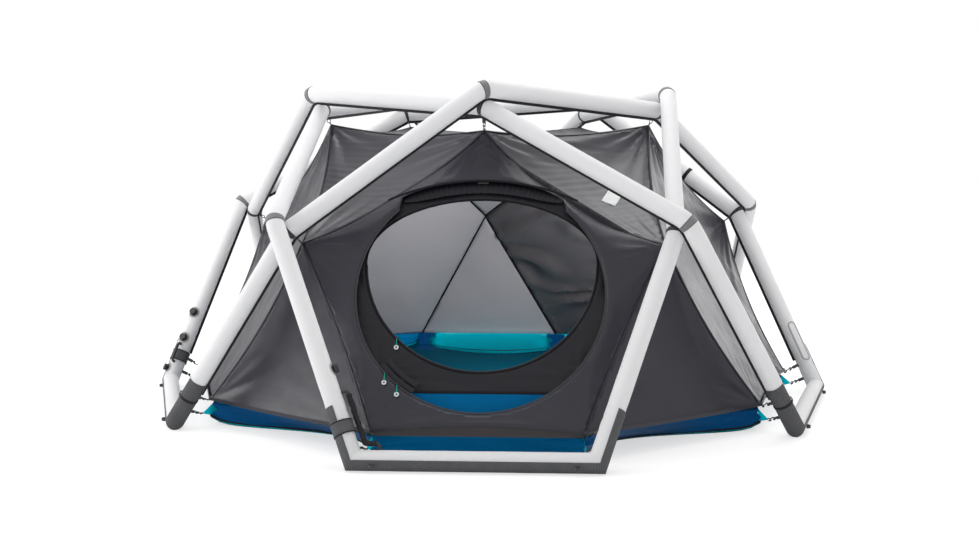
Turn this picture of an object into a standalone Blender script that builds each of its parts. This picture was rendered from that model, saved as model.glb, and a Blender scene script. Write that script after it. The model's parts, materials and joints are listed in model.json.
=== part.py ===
"""Inflatable tent: a woven frame of air tubes that carries a fly sheet and an inner tent.

The frame is half of a ball built from pentagons and triangles. Five arches, each a
tube with four bends, cross each other ten times, over and under in turn. Five
ground tubes join the feet under the pentagons. Lengths are in metres, +Z is up,
the door faces -Y and the origin is on the ground under the middle of the dome.
"""

import math

import bmesh
import bpy
from mathutils import Matrix, Vector

# Frame
EDGE = 0.92
GROUND_SHARE = 1.6065
GROUND_RADIUS = GROUND_SHARE * EDGE
FOOT_HALF_ANGLE = math.radians(16.6)
TUBE_RADIUS = 0.035
TUBE_SIDES = 12
BEND_RADIUS = 0.09
BEND_STEPS = 4
CLEARANCE = 0.0003
PHI = (1 + math.sqrt(5)) / 2
FIFTH_TURN = math.radians(72)
TENTH_TURN = math.radians(36)
FRONT_ANGLE = math.radians(-90)
MERGE_SIZE = 0.00001

# Boots: the sleeves that protect the ground tubes and the feet of the arches
BOOT_THICKNESS = 0.0025
BOOT_HALF_ANGLE = math.radians(78)
BOOT_SIDES = 8
BOOT_RISE = 0.20
BOOT_FLAT_DEPTH = 0.001
BOOT_BAND_HEIGHT = 0.115
BOOT_BAND_WIDTH = 0.046
BOOT_BAND_SIDES = 12
LOOP_RADIUS = 0.014
LOOP_WIDTH = 0.004
LOOP_THICKNESS = 0.002
LOOP_OFFSET = 0.07
LOOP_STEPS = 6
TIE_WIDTH = 0.012

# Lashings: webbing round both tubes of a crossing, with a ring and a fly hook
WEBBING = 0.0015
OUTER_STRAP_WIDTH = 0.026
INNER_STRAP_WIDTH = 0.014
STITCH_WIDTH = 0.009
CROSSING_EASE = 0.0085
TAB_WIDTH = 0.012
RING_RADIUS = 0.008
RING_WIRE = 0.0016
RING_PLACE_SHARE = 0.5
HOOK_WIDTH = 0.009
HOOK_THICKNESS = 0.004

# Fly sheet
FABRIC = 0.0012
HANG_DEPTH = 0.115
DOOR_HANG_DEPTH = 0.164
FLY_FOOT_INSET = 0.14
FLY_FOOT_RADIUS = GROUND_RADIUS - FLY_FOOT_INSET
FLY_FOOT_HEIGHT = 0.10
SEAM_SAG = 0.030
HEM_SAG = 0.012
PANEL_SAG = 0.035
SEAM_STEPS = 4
PANEL_RINGS = 3

# Door opening of the fly: a round zip line under a flatter crown
DOOR_RADIUS = 0.47
DOOR_HEIGHT = 0.575
DOOR_SIDES = 72
DOOR_GAP_ANGLE = math.radians(43)
CROWN_RADIUS = 0.812
CROWN_CENTRE = -0.35
CROWN_HALF_ANGLE = math.radians(26)
LAND_RADIUS = 0.52
LAND_RISE = 0.02
CUT_REACH = 0.03

# Inner tent
CANOPY_GAP = 0.045
CANOPY_FABRIC_THICKNESS = 0.001
CANOPY_FOOT_HEIGHT = 0.085
HANGER_WIDTH = 0.004
SILL_HEIGHT = 0.225
FLOOR_INSET = 0.058
FLOOR_RADIUS = FLY_FOOT_RADIUS - FLOOR_INSET
BAY_BOW_SHARE = 0.055
GUSSET_BOW_SHARE = 0.12
FLOOR_THICKNESS = 0.0015
PANEL_INSET = 0.0006
INNER_DOOR_RADIUS = 0.44
INNER_DOOR_RISE = 0.117
INNER_DOOR_CROWN = 0.28
STOW_WIDTH = 0.044
STOW_DEPTH = 0.022
STOW_HALF_ANGLE = math.radians(25)
TOGGLE_LENGTH = 0.042
TOGGLE_RADIUS = 0.0055

# Zips
ZIP_WIDTH = 0.006
ZIP_THICKNESS = 0.002
ZIP_STEP = math.radians(4)
ZIP_PLAY = 0.0006
ZIP_END_GAP = math.radians(2)
SLIDER_LENGTH = 0.014
SLIDER_WALL = 0.0016
BAIL_LENGTH = 0.007
BAIL_WIRE = 0.0012
BAIL_RISE = 0.0045
EYE_RADIUS = 0.0024
EYE_WIRE = 0.0007
PULL_LENGTH = 0.038
PULL_CORD = 0.0013
BEAD_RADIUS = 0.009
BEAD_THICKNESS = 0.004
UPPER_SLIDER_ANGLE = math.radians(-137)
LOWER_SLIDER_ANGLE = math.radians(-129)
INNER_SLIDER_ANGLE = math.radians(-135)

# Valves and link hoses
VALVE_FLANGE_RADIUS = 0.020
VALVE_FLANGE_THICKNESS = 0.002
VALVE_FLANGE_SIDES = 24
VALVE_NECK_RADIUS = 0.009
VALVE_NECK_HEIGHT = 0.011
KNOB_RADIUS = 0.0155
KNOB_ROOF = 0.003
KNOB_LOBES = 8
KNOB_LOBE_STEPS = 4
KNOB_LOBE_DEPTH = 0.0022
KNOB_LIFT = 0.0008
HIGH_VALVE = 0.33
MIDDLE_VALVE = 0.20
LOW_VALVE = 0.045
VALVE_ANGLE = math.radians(-104.6)
LOW_VALVE_ANGLE = math.radians(-147)
HOSE_RADIUS = 0.006
HOSE_SIDES = 8
HOSE_BEND = 0.012
HOSE_STAND = 0.022
HOSE_TOP = 0.24
HOSE_RUN = 0.09
SHORT_HOSE_TOP = 0.165
SHORT_HOSE_FOOT = 0.078

CROSSING_OFFSET = TUBE_RADIUS + CLEARANCE + WEBBING / 2 + CROSSING_EASE / 2
BOOT_INNER = (TUBE_RADIUS + CLEARANCE) / math.cos(BOOT_HALF_ANGLE / BOOT_SIDES)
BOOT_OUTER = BOOT_INNER + BOOT_THICKNESS
AXIS_HEIGHT = BOOT_OUTER - BOOT_FLAT_DEPTH
DOME_CENTRE = Vector((0, 0, AXIS_HEIGHT))
BAYS = ("front", "right", "back_right", "back_left", "left")


def material(name, colour, roughness, metallic=0.0):
    """Return a Principled material of this name, made once."""
    found = bpy.data.materials.get(name)
    if found:
        return found
    made = bpy.data.materials.new(name)
    made.use_nodes = True
    shader = made.node_tree.nodes["Principled BSDF"]
    shader.inputs["Base Color"].default_value = (*colour, 1.0)
    shader.inputs["Roughness"].default_value = roughness
    shader.inputs["Metallic"].default_value = metallic
    return made


TUBE_FABRIC = ("tube_fabric", (0.76, 0.76, 0.77), 0.75)
BOOT_FABRIC = ("boot_fabric", (0.075, 0.075, 0.085), 0.8)
STRAP_WEBBING = ("strap_webbing", (0.10, 0.10, 0.10), 0.8)
FLY_FABRIC = ("fly_fabric", (0.05, 0.05, 0.06), 0.7)
CANOPY_FABRIC = ("canopy_fabric", (0.30, 0.30, 0.31), 0.8)
FLOOR_FABRIC = ("floor_fabric", (0.0, 0.13, 0.25), 0.6)
PANEL_FABRIC = ("panel_fabric", (0.035, 0.035, 0.04), 0.75)
ZIP_NYLON = ("zip_nylon", (0.012, 0.012, 0.013), 0.5)
BLACK_PLASTIC = ("black_plastic", (0.012, 0.012, 0.012), 0.4)
PULL_PLASTIC = ("pull_plastic", (0.75, 0.78, 0.78), 0.4)
STOW_FABRIC = ("stow_fabric", (0.03, 0.03, 0.035), 0.8)
HOSE_RUBBER = ("hose_rubber", (0.02, 0.02, 0.02), 0.6)


def solid(name, verts, faces, finish, matrix=None, smooth=True):
    """Make one mesh object with outward faces from points in its own space."""
    mesh = bpy.data.meshes.new(name)
    build = bmesh.new()
    made = [build.verts.new(v) for v in verts]
    for face in faces:
        build.faces.new([made[i] for i in face])
    bmesh.ops.recalc_face_normals(build, faces=build.faces)
    build.to_mesh(mesh)
    build.free()
    mesh.materials.append(material(*finish))
    if smooth:
        mesh.shade_smooth()
        mesh.set_sharp_from_angle(angle=math.radians(35))
    placed = bpy.data.objects.new(name, mesh)
    bpy.context.scene.collection.objects.link(placed)
    if matrix is not None:
        placed.matrix_world = matrix
    return placed


def combine(target, tool, operation):
    """Join a hidden tool to a solid, or cut it away, with an exact Boolean."""
    tool.hide_render = True
    tool.display_type = "WIRE"
    tool.matrix_world = target.matrix_world
    step = target.modifiers.new(tool.name, "BOOLEAN")
    step.operation = operation
    step.solver = "EXACT"
    step.object = tool


def cut_with(target, tool):
    """Cut a hidden tool that keeps its own place out of a solid."""
    tool.hide_render = True
    tool.display_type = "WIRE"
    step = target.modifiers.new(tool.name, "BOOLEAN")
    step.operation = "DIFFERENCE"
    step.solver = "EXACT"
    step.object = tool


def circle_section(radius, sides, turn=0.0):
    """Return the corners of a regular polygon as (u, v) pairs."""
    angles = [turn + math.tau * i / sides for i in range(sides)]
    return [(radius * math.cos(a), radius * math.sin(a)) for a in angles]


def rectangle_section(width, depth):
    """Return the corners of a centred rectangle as (u, v) pairs."""
    return [(-width / 2, -depth / 2), (width / 2, -depth / 2),
            (width / 2, depth / 2), (-width / 2, depth / 2)]


def sweep_rings(section, path, reference, start_cut=None, end_cut=None):
    """Carry a section along a path with mitred bends, one ring of points for each stop."""
    steps = [(b - a).normalized() for a, b in zip(path, path[1:])]
    side = (reference - steps[0] * reference.dot(steps[0])).normalized()
    rings = []
    for i, stop in enumerate(path):
        along = steps[max(i - 1, 0)]
        after = steps[min(i, len(steps) - 1)]
        cut = (along + after).normalized()
        if i == 0 and start_cut is not None:
            cut = start_cut
        if i == len(path) - 1 and end_cut is not None:
            cut = end_cut
        across = along.cross(side)
        ring = []
        for u, v in section:
            arm = side * u + across * v
            ring.append(stop + arm - along * (arm.dot(cut) / along.dot(cut)))
        rings.append(ring)
        side = along.rotation_difference(after) @ side
    return rings


def sweep(name, section, path, reference, finish, start_cut=None, end_cut=None, matrix=None):
    """Make a solid bar of the section along the path, closed by flat ends."""
    rings = sweep_rings(section, path, reference, start_cut, end_cut)
    size = len(section)
    verts = [point for ring in rings for point in ring]
    faces = []
    for i in range(len(rings) - 1):
        for j in range(size):
            k = (j + 1) % size
            faces.append([i * size + j, i * size + k, (i + 1) * size + k, (i + 1) * size + j])
    faces.append(list(range(size)))
    faces.append([(len(rings) - 1) * size + j for j in range(size)])
    return solid(name, verts, faces, finish, matrix)


def sleeve(name, inner, outer, path, reference, finish):
    """Make an open-ended sleeve between two sections that follow the same path."""
    layers = [sweep_rings(section, path, reference) for section in (inner, outer)]
    size = len(inner)
    stops = len(path)
    verts = [point for rings in layers for ring in rings for point in ring]
    faces = []
    for layer in range(2):
        base = layer * stops * size
        for i in range(stops - 1):
            for j in range(size):
                k = (j + 1) % size
                low = base + i * size
                faces.append([low + j, low + k, low + size + k, low + size + j])
    for i in (0, stops - 1):
        for j in range(size):
            k = (j + 1) % size
            low = i * size
            high = (stops + i) * size
            faces.append([low + j, low + k, high + k, high + j])
    return solid(name, verts, faces, finish)


def ring_solid(name, radius, wire, finish, matrix, around=10, sides=5):
    """Make a round ring of wire in the local XY plane."""
    verts = []
    for i in range(around):
        a = math.tau * i / around
        for u, v in circle_section(wire, sides):
            verts.append(((radius + u) * math.cos(a), (radius + u) * math.sin(a), v))
    faces = []
    for i in range(around):
        for j in range(sides):
            k = (j + 1) % sides
            n = (i + 1) % around
            faces.append([i * sides + j, n * sides + j, n * sides + k, i * sides + k])
    moved = [matrix @ Vector(v) for v in verts]
    return solid(name, moved, faces, finish)


def polar(radius, angle, height):
    """Return a point at this height above the axis plane of the ground tubes."""
    return DOME_CENTRE + Vector((radius * math.cos(angle), radius * math.sin(angle), height))


def bay_angle(bay):
    """Return the direction that a bay of the dome faces."""
    return FRONT_ANGLE + bay * FIFTH_TURN


def top_point(bay):
    """Return the crossing at the peak of a bay."""
    radius = EDGE / (2 * math.sin(TENTH_TURN))
    return polar(radius, bay_angle(bay), PHI * radius)


def mid_point(bay):
    """Return the crossing between a bay and the next one."""
    radius = EDGE / (2 * math.sin(TENTH_TURN))
    return polar(PHI * radius, bay_angle(bay) + TENTH_TURN, radius)


def foot_point(bay, side):
    """Return the foot of a bay, side -1 on its left and 1 on its right from inside out."""
    return polar(GROUND_RADIUS, bay_angle(bay) + side * FOOT_HALF_ANGLE, 0)


def outward(point):
    """Return the direction from the middle of the dome to a point."""
    return (point - DOME_CENTRE).normalized()


def woven(point, over):
    """Lift or lower a crossing so that one tube passes over the other."""
    return point + outward(point) * CROSSING_OFFSET * over


def arch_corners(bay):
    """Return the six corners of the arch that goes over the peak of this bay."""
    return [foot_point(bay - 1, 1), woven(mid_point(bay - 1), -1), woven(top_point(bay), 1),
            woven(top_point(bay + 1), -1), woven(mid_point(bay + 1), 1), foot_point(bay + 2, -1)]


def foot_cut(bay, side):
    """Return the normal of the mitre between a leg and its ground tube, and the leg's direction."""
    foot = foot_point(bay, side)
    if side > 0:
        leg = (arch_corners(bay + 1)[1] - foot).normalized()
    else:
        leg = (arch_corners(bay - 2)[4] - foot).normalized()
    run = (foot_point(bay, -side) - foot).normalized()
    return (leg - run).normalized(), leg, run


def filleted(corners, radius, steps):
    """Round the inner corners of a path; also return where each bend's middle falls."""
    path = [corners[0]]
    middles = []
    for before, corner, after in zip(corners, corners[1:], corners[2:]):
        back = (before - corner).normalized()
        ahead = (after - corner).normalized()
        bend = math.pi - back.angle(ahead)
        middle = corner + (back + ahead).normalized() * (radius / math.cos(bend / 2))
        first = corner + back * radius * math.tan(bend / 2) - middle
        axis = first.cross(corner + ahead * radius * math.tan(bend / 2) - middle).normalized()
        for i in range(steps + 1):
            path.append(middle + Matrix.Rotation(bend * i / steps, 3, axis) @ first)
        middles.append(len(path) - 1 - steps // 2)
    path.append(corners[-1])
    return path, middles


def path_frames(path, reference):
    """Return the transported reference direction of each straight of a path."""
    steps = [(b - a).normalized() for a, b in zip(path, path[1:])]
    side = (reference - steps[0] * reference.dot(steps[0])).normalized()
    sides = [side]
    for before, after in zip(steps, steps[1:]):
        side = before.rotation_difference(after) @ side
        sides.append(side)
    return sides


def clip_path(path, middle, reach):
    """Return the stretch of a path within reach of one of its stops, and its first straight."""
    before = [path[middle]]
    left = reach
    i = middle
    while (path[i - 1] - path[i]).length < left:
        left -= (path[i - 1] - path[i]).length
        i -= 1
        before.insert(0, path[i])
    before.insert(0, path[i].lerp(path[i - 1], left / (path[i - 1] - path[i]).length))
    first = i - 1
    left = reach
    i = middle
    while (path[i + 1] - path[i]).length < left:
        left -= (path[i + 1] - path[i]).length
        i += 1
        before.append(path[i])
    before.append(path[i].lerp(path[i + 1], left / (path[i + 1] - path[i]).length))
    return before, first


class Arch:
    """One arch tube: its path, its bends and the direction its seam faces."""

    def __init__(self, bay):
        corners = arch_corners(bay)
        self.bay = bay
        self.path, self.middles = filleted(corners, BEND_RADIUS, BEND_STEPS)
        start, leg, _ = foot_cut(bay - 1, 1)
        end, last_leg, _ = foot_cut(bay + 2, -1)
        self.start_cut = start
        self.end_cut = end
        self.path[0] = corners[0] + leg * (CLEARANCE / 2 / abs(leg.dot(start)))
        self.path[-1] = corners[-1] + last_leg * (CLEARANCE / 2 / abs(last_leg.dot(end)))
        middle = (corners[2] + corners[3]) / 2
        ahead = (corners[3] - corners[2]).normalized()
        self.plane = ahead.cross(outward(middle)).normalized()
        first = (self.path[1] - self.path[0]).normalized()
        self.reference = first.cross(self.plane)
        if self.reference.dot(outward(self.path[1])) > 0:
            self.reference = -self.reference
        self.frames = path_frames(self.path, self.reference)

    def build(self):
        """Make the tube with flats that face the seam."""
        section = circle_section(TUBE_RADIUS, TUBE_SIDES, math.pi / TUBE_SIDES)
        name = "arch_%d_tube" % (self.bay + 1)
        return sweep(name, section, self.path, self.reference, TUBE_FABRIC,
                     self.start_cut, self.end_cut)

    def strap(self, name, bend, width):
        """Make a webbing band round the tube at one of its bends."""
        path, first = clip_path(self.path, self.middles[bend], width / 2)
        turn = math.pi / TUBE_SIDES
        inner = circle_section(TUBE_RADIUS + CLEARANCE, TUBE_SIDES, turn)
        outer = circle_section(TUBE_RADIUS + CLEARANCE + WEBBING, TUBE_SIDES, turn)
        return sleeve(name, inner, outer, path, self.frames[first], STRAP_WEBBING)


def hang_point(point, depth):
    """Return the place of a fly corner below a crossing."""
    return point - outward(point) * depth


def fly_top(bay):
    """Return the fly corner under the peak of a bay."""
    depth = DOOR_HANG_DEPTH if bay % 5 == 0 else HANG_DEPTH
    return hang_point(top_point(bay), depth)


def fly_mid(bay):
    """Return the fly corner between a bay and the next one."""
    return hang_point(mid_point(bay), HANG_DEPTH)


def fly_foot(bay, side):
    """Return a lower corner of the fly."""
    angle = bay_angle(bay) + side * FOOT_HALF_ANGLE
    return polar(FLY_FOOT_RADIUS, angle, FLY_FOOT_HEIGHT - AXIS_HEIGHT)


def lashing(name, over, over_bend, under, under_bend, corner):
    """Join the webbing of both tubes of a crossing, its ring and the hook of the fly."""
    base = over.strap(name, over_bend, OUTER_STRAP_WIDTH)
    low = under.strap(name + "_under", under_bend, INNER_STRAP_WIDTH)
    combine(base, low, "UNION")
    stop = under.middles[under_bend]
    centre = under.path[stop]
    down = under.frames[stop]
    down = (down + under.frames[stop - 1]).normalized()
    along = (under.path[stop + 1] - under.path[stop - 1]).normalized()
    seat = (TUBE_RADIUS + CLEARANCE + WEBBING / 2) * math.cos(math.pi / TUBE_SIDES)
    upper = over.path[over.middles[over_bend]]
    drop = (centre - upper).normalized()
    pad = sweep(name + "_stitching", rectangle_section(STITCH_WIDTH, STITCH_WIDTH),
                [upper + drop * seat, centre - drop * seat], along, STRAP_WEBBING)
    combine(base, pad, "UNION")
    top = centre + down * seat
    aim = (corner - top).normalized()
    reach = (corner - top).length - CLEARANCE
    eye = top + aim * (reach * RING_PLACE_SHARE)
    across = aim.cross(along).normalized()
    tab_end = eye - aim * RING_RADIUS
    tab = sweep(name + "_tab", rectangle_section(TAB_WIDTH, WEBBING), [top, tab_end], along,
                STRAP_WEBBING)
    combine(base, tab, "UNION")
    place = Matrix((along, aim, across)).transposed().to_4x4()
    place.translation = eye
    ring = ring_solid(name + "_ring", RING_RADIUS, RING_WIRE, STRAP_WEBBING, place)
    combine(base, ring, "UNION")
    hook_top = eye + aim * RING_RADIUS
    hook = sweep(name + "_hook", rectangle_section(HOOK_WIDTH, HOOK_THICKNESS),
                 [hook_top, corner - aim * CLEARANCE], along, STRAP_WEBBING)
    combine(base, hook, "UNION")
    return base


def boot(bay):
    """Make the sleeve under a ground tube that climbs the outer side of both legs."""
    name = BAYS[bay] + "_boot"
    left = foot_point(bay, -1)
    right = foot_point(bay, 1)
    left_leg = foot_cut(bay, -1)[1]
    right_leg = foot_cut(bay, 1)[1]
    path = [left + left_leg * BOOT_RISE, left, right, right + right_leg * BOOT_RISE]
    facing = left_leg.cross(right - left).normalized()
    away = left_leg.cross(facing).normalized()
    if away.dot(right - left) > 0:
        away = -away
    angles = [BOOT_HALF_ANGLE * (2 * i / BOOT_SIDES - 1) for i in range(BOOT_SIDES + 1)]
    section = [(BOOT_OUTER * math.cos(a), BOOT_OUTER * math.sin(a)) for a in angles]
    section += [(BOOT_INNER * math.cos(a), BOOT_INNER * math.sin(a)) for a in reversed(angles)]
    base = sweep(name, section, path, away, BOOT_FABRIC)
    for side, foot, leg in ((-1, left, left_leg), (1, right, right_leg)):
        label = "%s_band_%s" % (name, "left" if side < 0 else "right")
        low = foot + leg * (BOOT_BAND_HEIGHT - BOOT_BAND_WIDTH / 2)
        high = foot + leg * (BOOT_BAND_HEIGHT + BOOT_BAND_WIDTH / 2)
        turn = math.pi / BOOT_BAND_SIDES
        inner = circle_section(BOOT_INNER + BOOT_THICKNESS / 3, BOOT_BAND_SIDES, turn)
        outer = circle_section(BOOT_OUTER + BOOT_THICKNESS / 3, BOOT_BAND_SIDES, turn)
        band = sleeve(label, inner, outer, [low, high], away, BOOT_FABRIC)
        combine(base, band, "UNION")
        run = (right - left).normalized() * -side
        out = Vector((run.y, -run.x, 0)).normalized()
        if out.dot(foot) < 0:
            out = -out
        spot = foot + run * LOOP_OFFSET + out * (BOOT_OUTER - BOOT_THICKNESS / 2)
        turns = [math.pi * i / LOOP_STEPS for i in range(LOOP_STEPS + 1)]
        arc = [spot + (run * math.cos(a) + out * math.sin(a)) * LOOP_RADIUS for a in turns]
        loop = sweep(label.replace("band", "peg_loop"),
                     rectangle_section(LOOP_WIDTH, LOOP_THICKNESS), arc, Vector((0, 0, 1)),
                     BOOT_FABRIC)
        combine(base, loop, "UNION")
        combine(base, corner_tie(label.replace("band", "tie"), bay, side, leg), "UNION")
    if bay == 4:
        notch = prism(name + "_valve_notch", circle_section(VALVE_FLANGE_RADIUS + CLEARANCE,
                      VALVE_FLANGE_SIDES), 0, 2 * BOOT_OUTER, BOOT_FABRIC,
                      leg_frame(bay, -1, LOW_VALVE, level_direction(LOW_VALVE_ANGLE)))
        cut_with(base, notch)
    combine(base, ground_block(name + "_ground", foot_point(bay, 0)), "DIFFERENCE")
    return base


def corner_tie(name, bay, side, leg):
    """Make the webbing that holds the lower corners of the fly and the tub to a leg's band."""
    grip = foot_point(bay, side) + leg * BOOT_BAND_HEIGHT
    corner = fly_foot(bay, side)
    aim = Vector((-grip.x, -grip.y, 0))
    aim = (aim - leg * aim.dot(leg)).normalized()
    start = grip + aim * (BOOT_INNER + BOOT_THICKNESS / 3 + BOOT_THICKNESS / 2)
    below = corner - Vector((0, 0, CLEARANCE + WEBBING))
    tub_radius = FLY_FOOT_RADIUS - CANOPY_GAP + CLEARANCE
    angle = bay_angle(bay) + side * FOOT_HALF_ANGLE
    end = polar(tub_radius, angle, CANOPY_FOOT_HEIGHT - CLEARANCE - WEBBING - AXIS_HEIGHT)
    return sweep(name, rectangle_section(WEBBING, TIE_WIDTH), [start, below, end],
                 Vector((0, 0, 1)), STRAP_WEBBING)


def ground_block(name, place):
    """Make the block under the ground plane that cuts a boot's sole flat."""
    half = EDGE
    size = rectangle_section(2 * half, 2 * half)
    low = Vector((place.x, place.y, -half))
    return sweep(name, size, [low, Vector((place.x, place.y, 0))], Vector((1, 0, 0)), BOOT_FABRIC)


class Cloth:
    """A sewn sheet: its points, its faces and the edge that it is cut back from."""

    def __init__(self):
        self.points = []
        self.faces = []
        self.places = {}

    def index(self, point):
        """Return the number of a point, the same one for a place used before."""
        key = tuple(round(value / MERGE_SIZE) for value in point)
        if key not in self.places:
            self.places[key] = len(self.points)
            self.points.append(point.copy())
        return self.places[key]

    def face(self, corners):
        """Add a face by its corner points."""
        self.faces.append([self.index(corner) for corner in corners])

    def rings(self, loops, middle):
        """Add the strips between nested loops of points and close the last round a middle."""
        for outer, inner in zip(loops, loops[1:]):
            for i in range(len(outer)):
                k = (i + 1) % len(outer)
                if (inner[k] - outer[i]).length < (inner[i] - outer[k]).length:
                    self.face([outer[i], outer[k], inner[k]])
                    self.face([outer[i], inner[k], inner[i]])
                else:
                    self.face([outer[i], outer[k], inner[i]])
                    self.face([outer[k], inner[k], inner[i]])
        last = loops[-1]
        if middle is None:
            self.face(last)
            return
        for i in range(len(last)):
            self.face([last[i], last[(i + 1) % len(last)], middle])

    def border(self):
        """Return the directed edges that only one face uses."""
        edges = {}
        for face in self.faces:
            for a, b in zip(face, face[1:] + face[:1]):
                if (b, a) in edges:
                    del edges[(b, a)]
                else:
                    edges[(a, b)] = True
        return list(edges)

    def cut_back(self, amount):
        """Move the border points into the sheet."""
        rim = {i for edge in self.border() for i in edge}
        middles = {i: [] for i in rim}
        for face in self.faces:
            middle = sum((self.points[i] for i in face), Vector()) / len(face)
            for i in face:
                if i in rim:
                    middles[i].append(middle)
        for i, found in middles.items():
            aim = sum(found, Vector()) / len(found) - self.points[i]
            self.points[i] = self.points[i] + aim.normalized() * amount

    def build(self, name, thickness, finish):
        """Make the solid that lies between the sheet and its copy nearer the middle."""
        inner = [point - outward(point) * thickness for point in self.points]
        size = len(self.points)
        faces = self.faces + [[i + size for i in reversed(face)] for face in self.faces]
        faces += [[b, a, a + size, b + size] for a, b in self.border()]
        return solid(name, self.points + inner, faces, finish)


def seam(a, b):
    """Return the points of a sewn edge, drawn inward between its corners."""
    points = []
    for i in range(SEAM_STEPS):
        share = i / SEAM_STEPS
        point = a.lerp(b, share)
        points.append(point - outward(point) * (SEAM_SAG * 4 * share * (1 - share)))
    return points


def hem(a, b):
    """Return the points of a free lower edge, cut up between its corners."""
    points = []
    for i in range(SEAM_STEPS):
        share = i / SEAM_STEPS
        points.append(a.lerp(b, share) + Vector((0, 0, HEM_SAG * 4 * share * (1 - share))))
    return points


def tensioned(sheet, loop, corners, sag):
    """Add a panel that sinks inward from its edge to its middle."""
    flat = sum(corners, Vector()) / len(corners)
    loops = [loop]
    for i in range(1, PANEL_RINGS):
        share = i / PANEL_RINGS
        ring = [point.lerp(flat, share) for point in loop]
        loops.append([p - outward(p) * (sag * (1 - (1 - share) ** 2)) for p in ring])
    sheet.rings(loops, flat - outward(flat) * sag)


def plane_frame(top, left, right, height):
    """Return the frame of a leaning wall: X across, Y up the wall, Z out of it."""
    across = (right - left).normalized()
    base = (left + right) / 2
    up = (top - base).normalized()
    place = base.lerp(top, (height - base.z) / (top.z - base.z))
    frame = Matrix((across, up, across.cross(up))).transposed().to_4x4()
    frame.translation = place
    return frame


def door_frame():
    """Return the frame of the fly's front wall at the middle of its round zip."""
    return plane_frame(fly_top(0), fly_foot(0, -1), fly_foot(0, 1), DOOR_HEIGHT)


def door_outline():
    """Return the outline of the fly's opening in the door frame."""
    start = math.pi / 2 + DOOR_GAP_ANGLE
    turn = math.tau - 2 * DOOR_GAP_ANGLE
    count = round(DOOR_SIDES * turn / math.tau)
    points = [(DOOR_RADIUS * math.cos(start + turn * i / count),
               DOOR_RADIUS * math.sin(start + turn * i / count)) for i in range(count + 1)]
    crown = round(DOOR_SIDES * CROWN_HALF_ANGLE / math.pi)
    for i in range(crown + 1):
        a = math.pi / 2 - CROWN_HALF_ANGLE + 2 * CROWN_HALF_ANGLE * i / crown
        points.append((CROWN_RADIUS * math.cos(a), CROWN_CENTRE + CROWN_RADIUS * math.sin(a)))
    return points


def inner_outline():
    """Return the outline of the inner tent's opening: half round below, flatter above."""
    points = []
    for i in range(DOOR_SIDES):
        a = math.tau * i / DOOR_SIDES
        rise = INNER_DOOR_CROWN if math.sin(a) > 0 else INNER_DOOR_RADIUS
        points.append((INNER_DOOR_RADIUS * math.cos(a), INNER_DOOR_RISE + rise * math.sin(a)))
    return points


def prism(name, outline, low, high, finish, matrix):
    """Make a straight-sided solid from an outline in the local XY plane."""
    size = len(outline)
    verts = [(x, y, low) for x, y in outline] + [(x, y, high) for x, y in outline]
    faces = [list(range(size)), list(range(size, 2 * size))]
    for i in range(size):
        k = (i + 1) % size
        faces.append([i, k, k + size, i + size])
    return solid(name, verts, faces, finish, matrix)


def fly_roof():
    """Make the top of the fly: the flat pentagon and the five triangles round it."""
    sheet = Cloth()
    tops = [fly_top(bay) for bay in range(5)]
    loop = [p for bay in range(5) for p in seam(tops[bay], tops[(bay + 1) % 5])]
    tensioned(sheet, loop, tops, PANEL_SAG)
    for bay in range(5):
        corners = [tops[bay], fly_mid(bay), tops[(bay + 1) % 5]]
        loop = [p for a, b in zip(corners, corners[1:] + corners[:1]) for p in seam(a, b)]
        tensioned(sheet, loop, corners, SEAM_SAG)
    sheet.cut_back(CLEARANCE)
    return sheet.build("fly_roof", FABRIC, FLY_FABRIC)


def fly_wall(bay):
    """Make one wall of the fly: a five-sided panel and the gusset beside it."""
    sheet = Cloth()
    corners = [fly_top(bay), fly_mid(bay - 1), fly_foot(bay, -1), fly_foot(bay, 1), fly_mid(bay)]
    loop = seam(corners[0], corners[1]) + seam(corners[1], corners[2])
    loop += hem(corners[2], corners[3]) + seam(corners[3], corners[4]) + seam(corners[4], corners[0])
    if bay == 0:
        frame = door_frame()
        land = []
        for point in loop:
            local = frame.inverted() @ point
            a = math.atan2(local.y - LAND_RISE, local.x)
            place = Vector((LAND_RADIUS * math.cos(a), LAND_RISE + LAND_RADIUS * math.sin(a), 0))
            land.append(frame @ place)
        sheet.rings([loop, land], None)
    else:
        tensioned(sheet, loop, corners, PANEL_SAG)
    ends = [fly_mid(bay), fly_foot(bay, 1), fly_foot(bay + 1, -1)]
    loop = seam(ends[0], ends[1]) + hem(ends[1], ends[2]) + seam(ends[2], ends[0])
    tensioned(sheet, loop, ends, SEAM_SAG)
    sheet.cut_back(CLEARANCE)
    wall = sheet.build("fly_%s_wall" % BAYS[bay], FABRIC, FLY_FABRIC)
    if bay == 0:
        cutter = prism("door_cutter", door_outline(), -CUT_REACH, CUT_REACH, FLY_FABRIC,
                       door_frame())
        cut_with(wall, cutter)
    return wall


def canopy_point(point):
    """Return the inner tent's corner inside a corner of the fly."""
    return hang_point(point, CANOPY_GAP)


def canopy_foot(bay, side):
    """Return a lower corner of the canopy, where it is sewn to the tub."""
    angle = bay_angle(bay) + side * FOOT_HALF_ANGLE
    return polar(FLY_FOOT_RADIUS - CANOPY_GAP, angle, CANOPY_FOOT_HEIGHT - AXIS_HEIGHT)


def inner_frame():
    """Return the frame of the inner tent's front wall, level with the fly's door."""
    return plane_frame(canopy_point(fly_top(0)), canopy_foot(0, -1), canopy_foot(0, 1),
                       DOOR_HEIGHT)


def canopy_mid(bay):
    """Return the canopy's side corner, laid in the front wall's plane beside the door."""
    point = canopy_point(fly_mid(bay))
    if bay % 5 not in (0, 4):
        return point
    frame = inner_frame()
    local = frame.inverted() @ point
    return frame @ Vector((local.x, local.y, 0))


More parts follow.
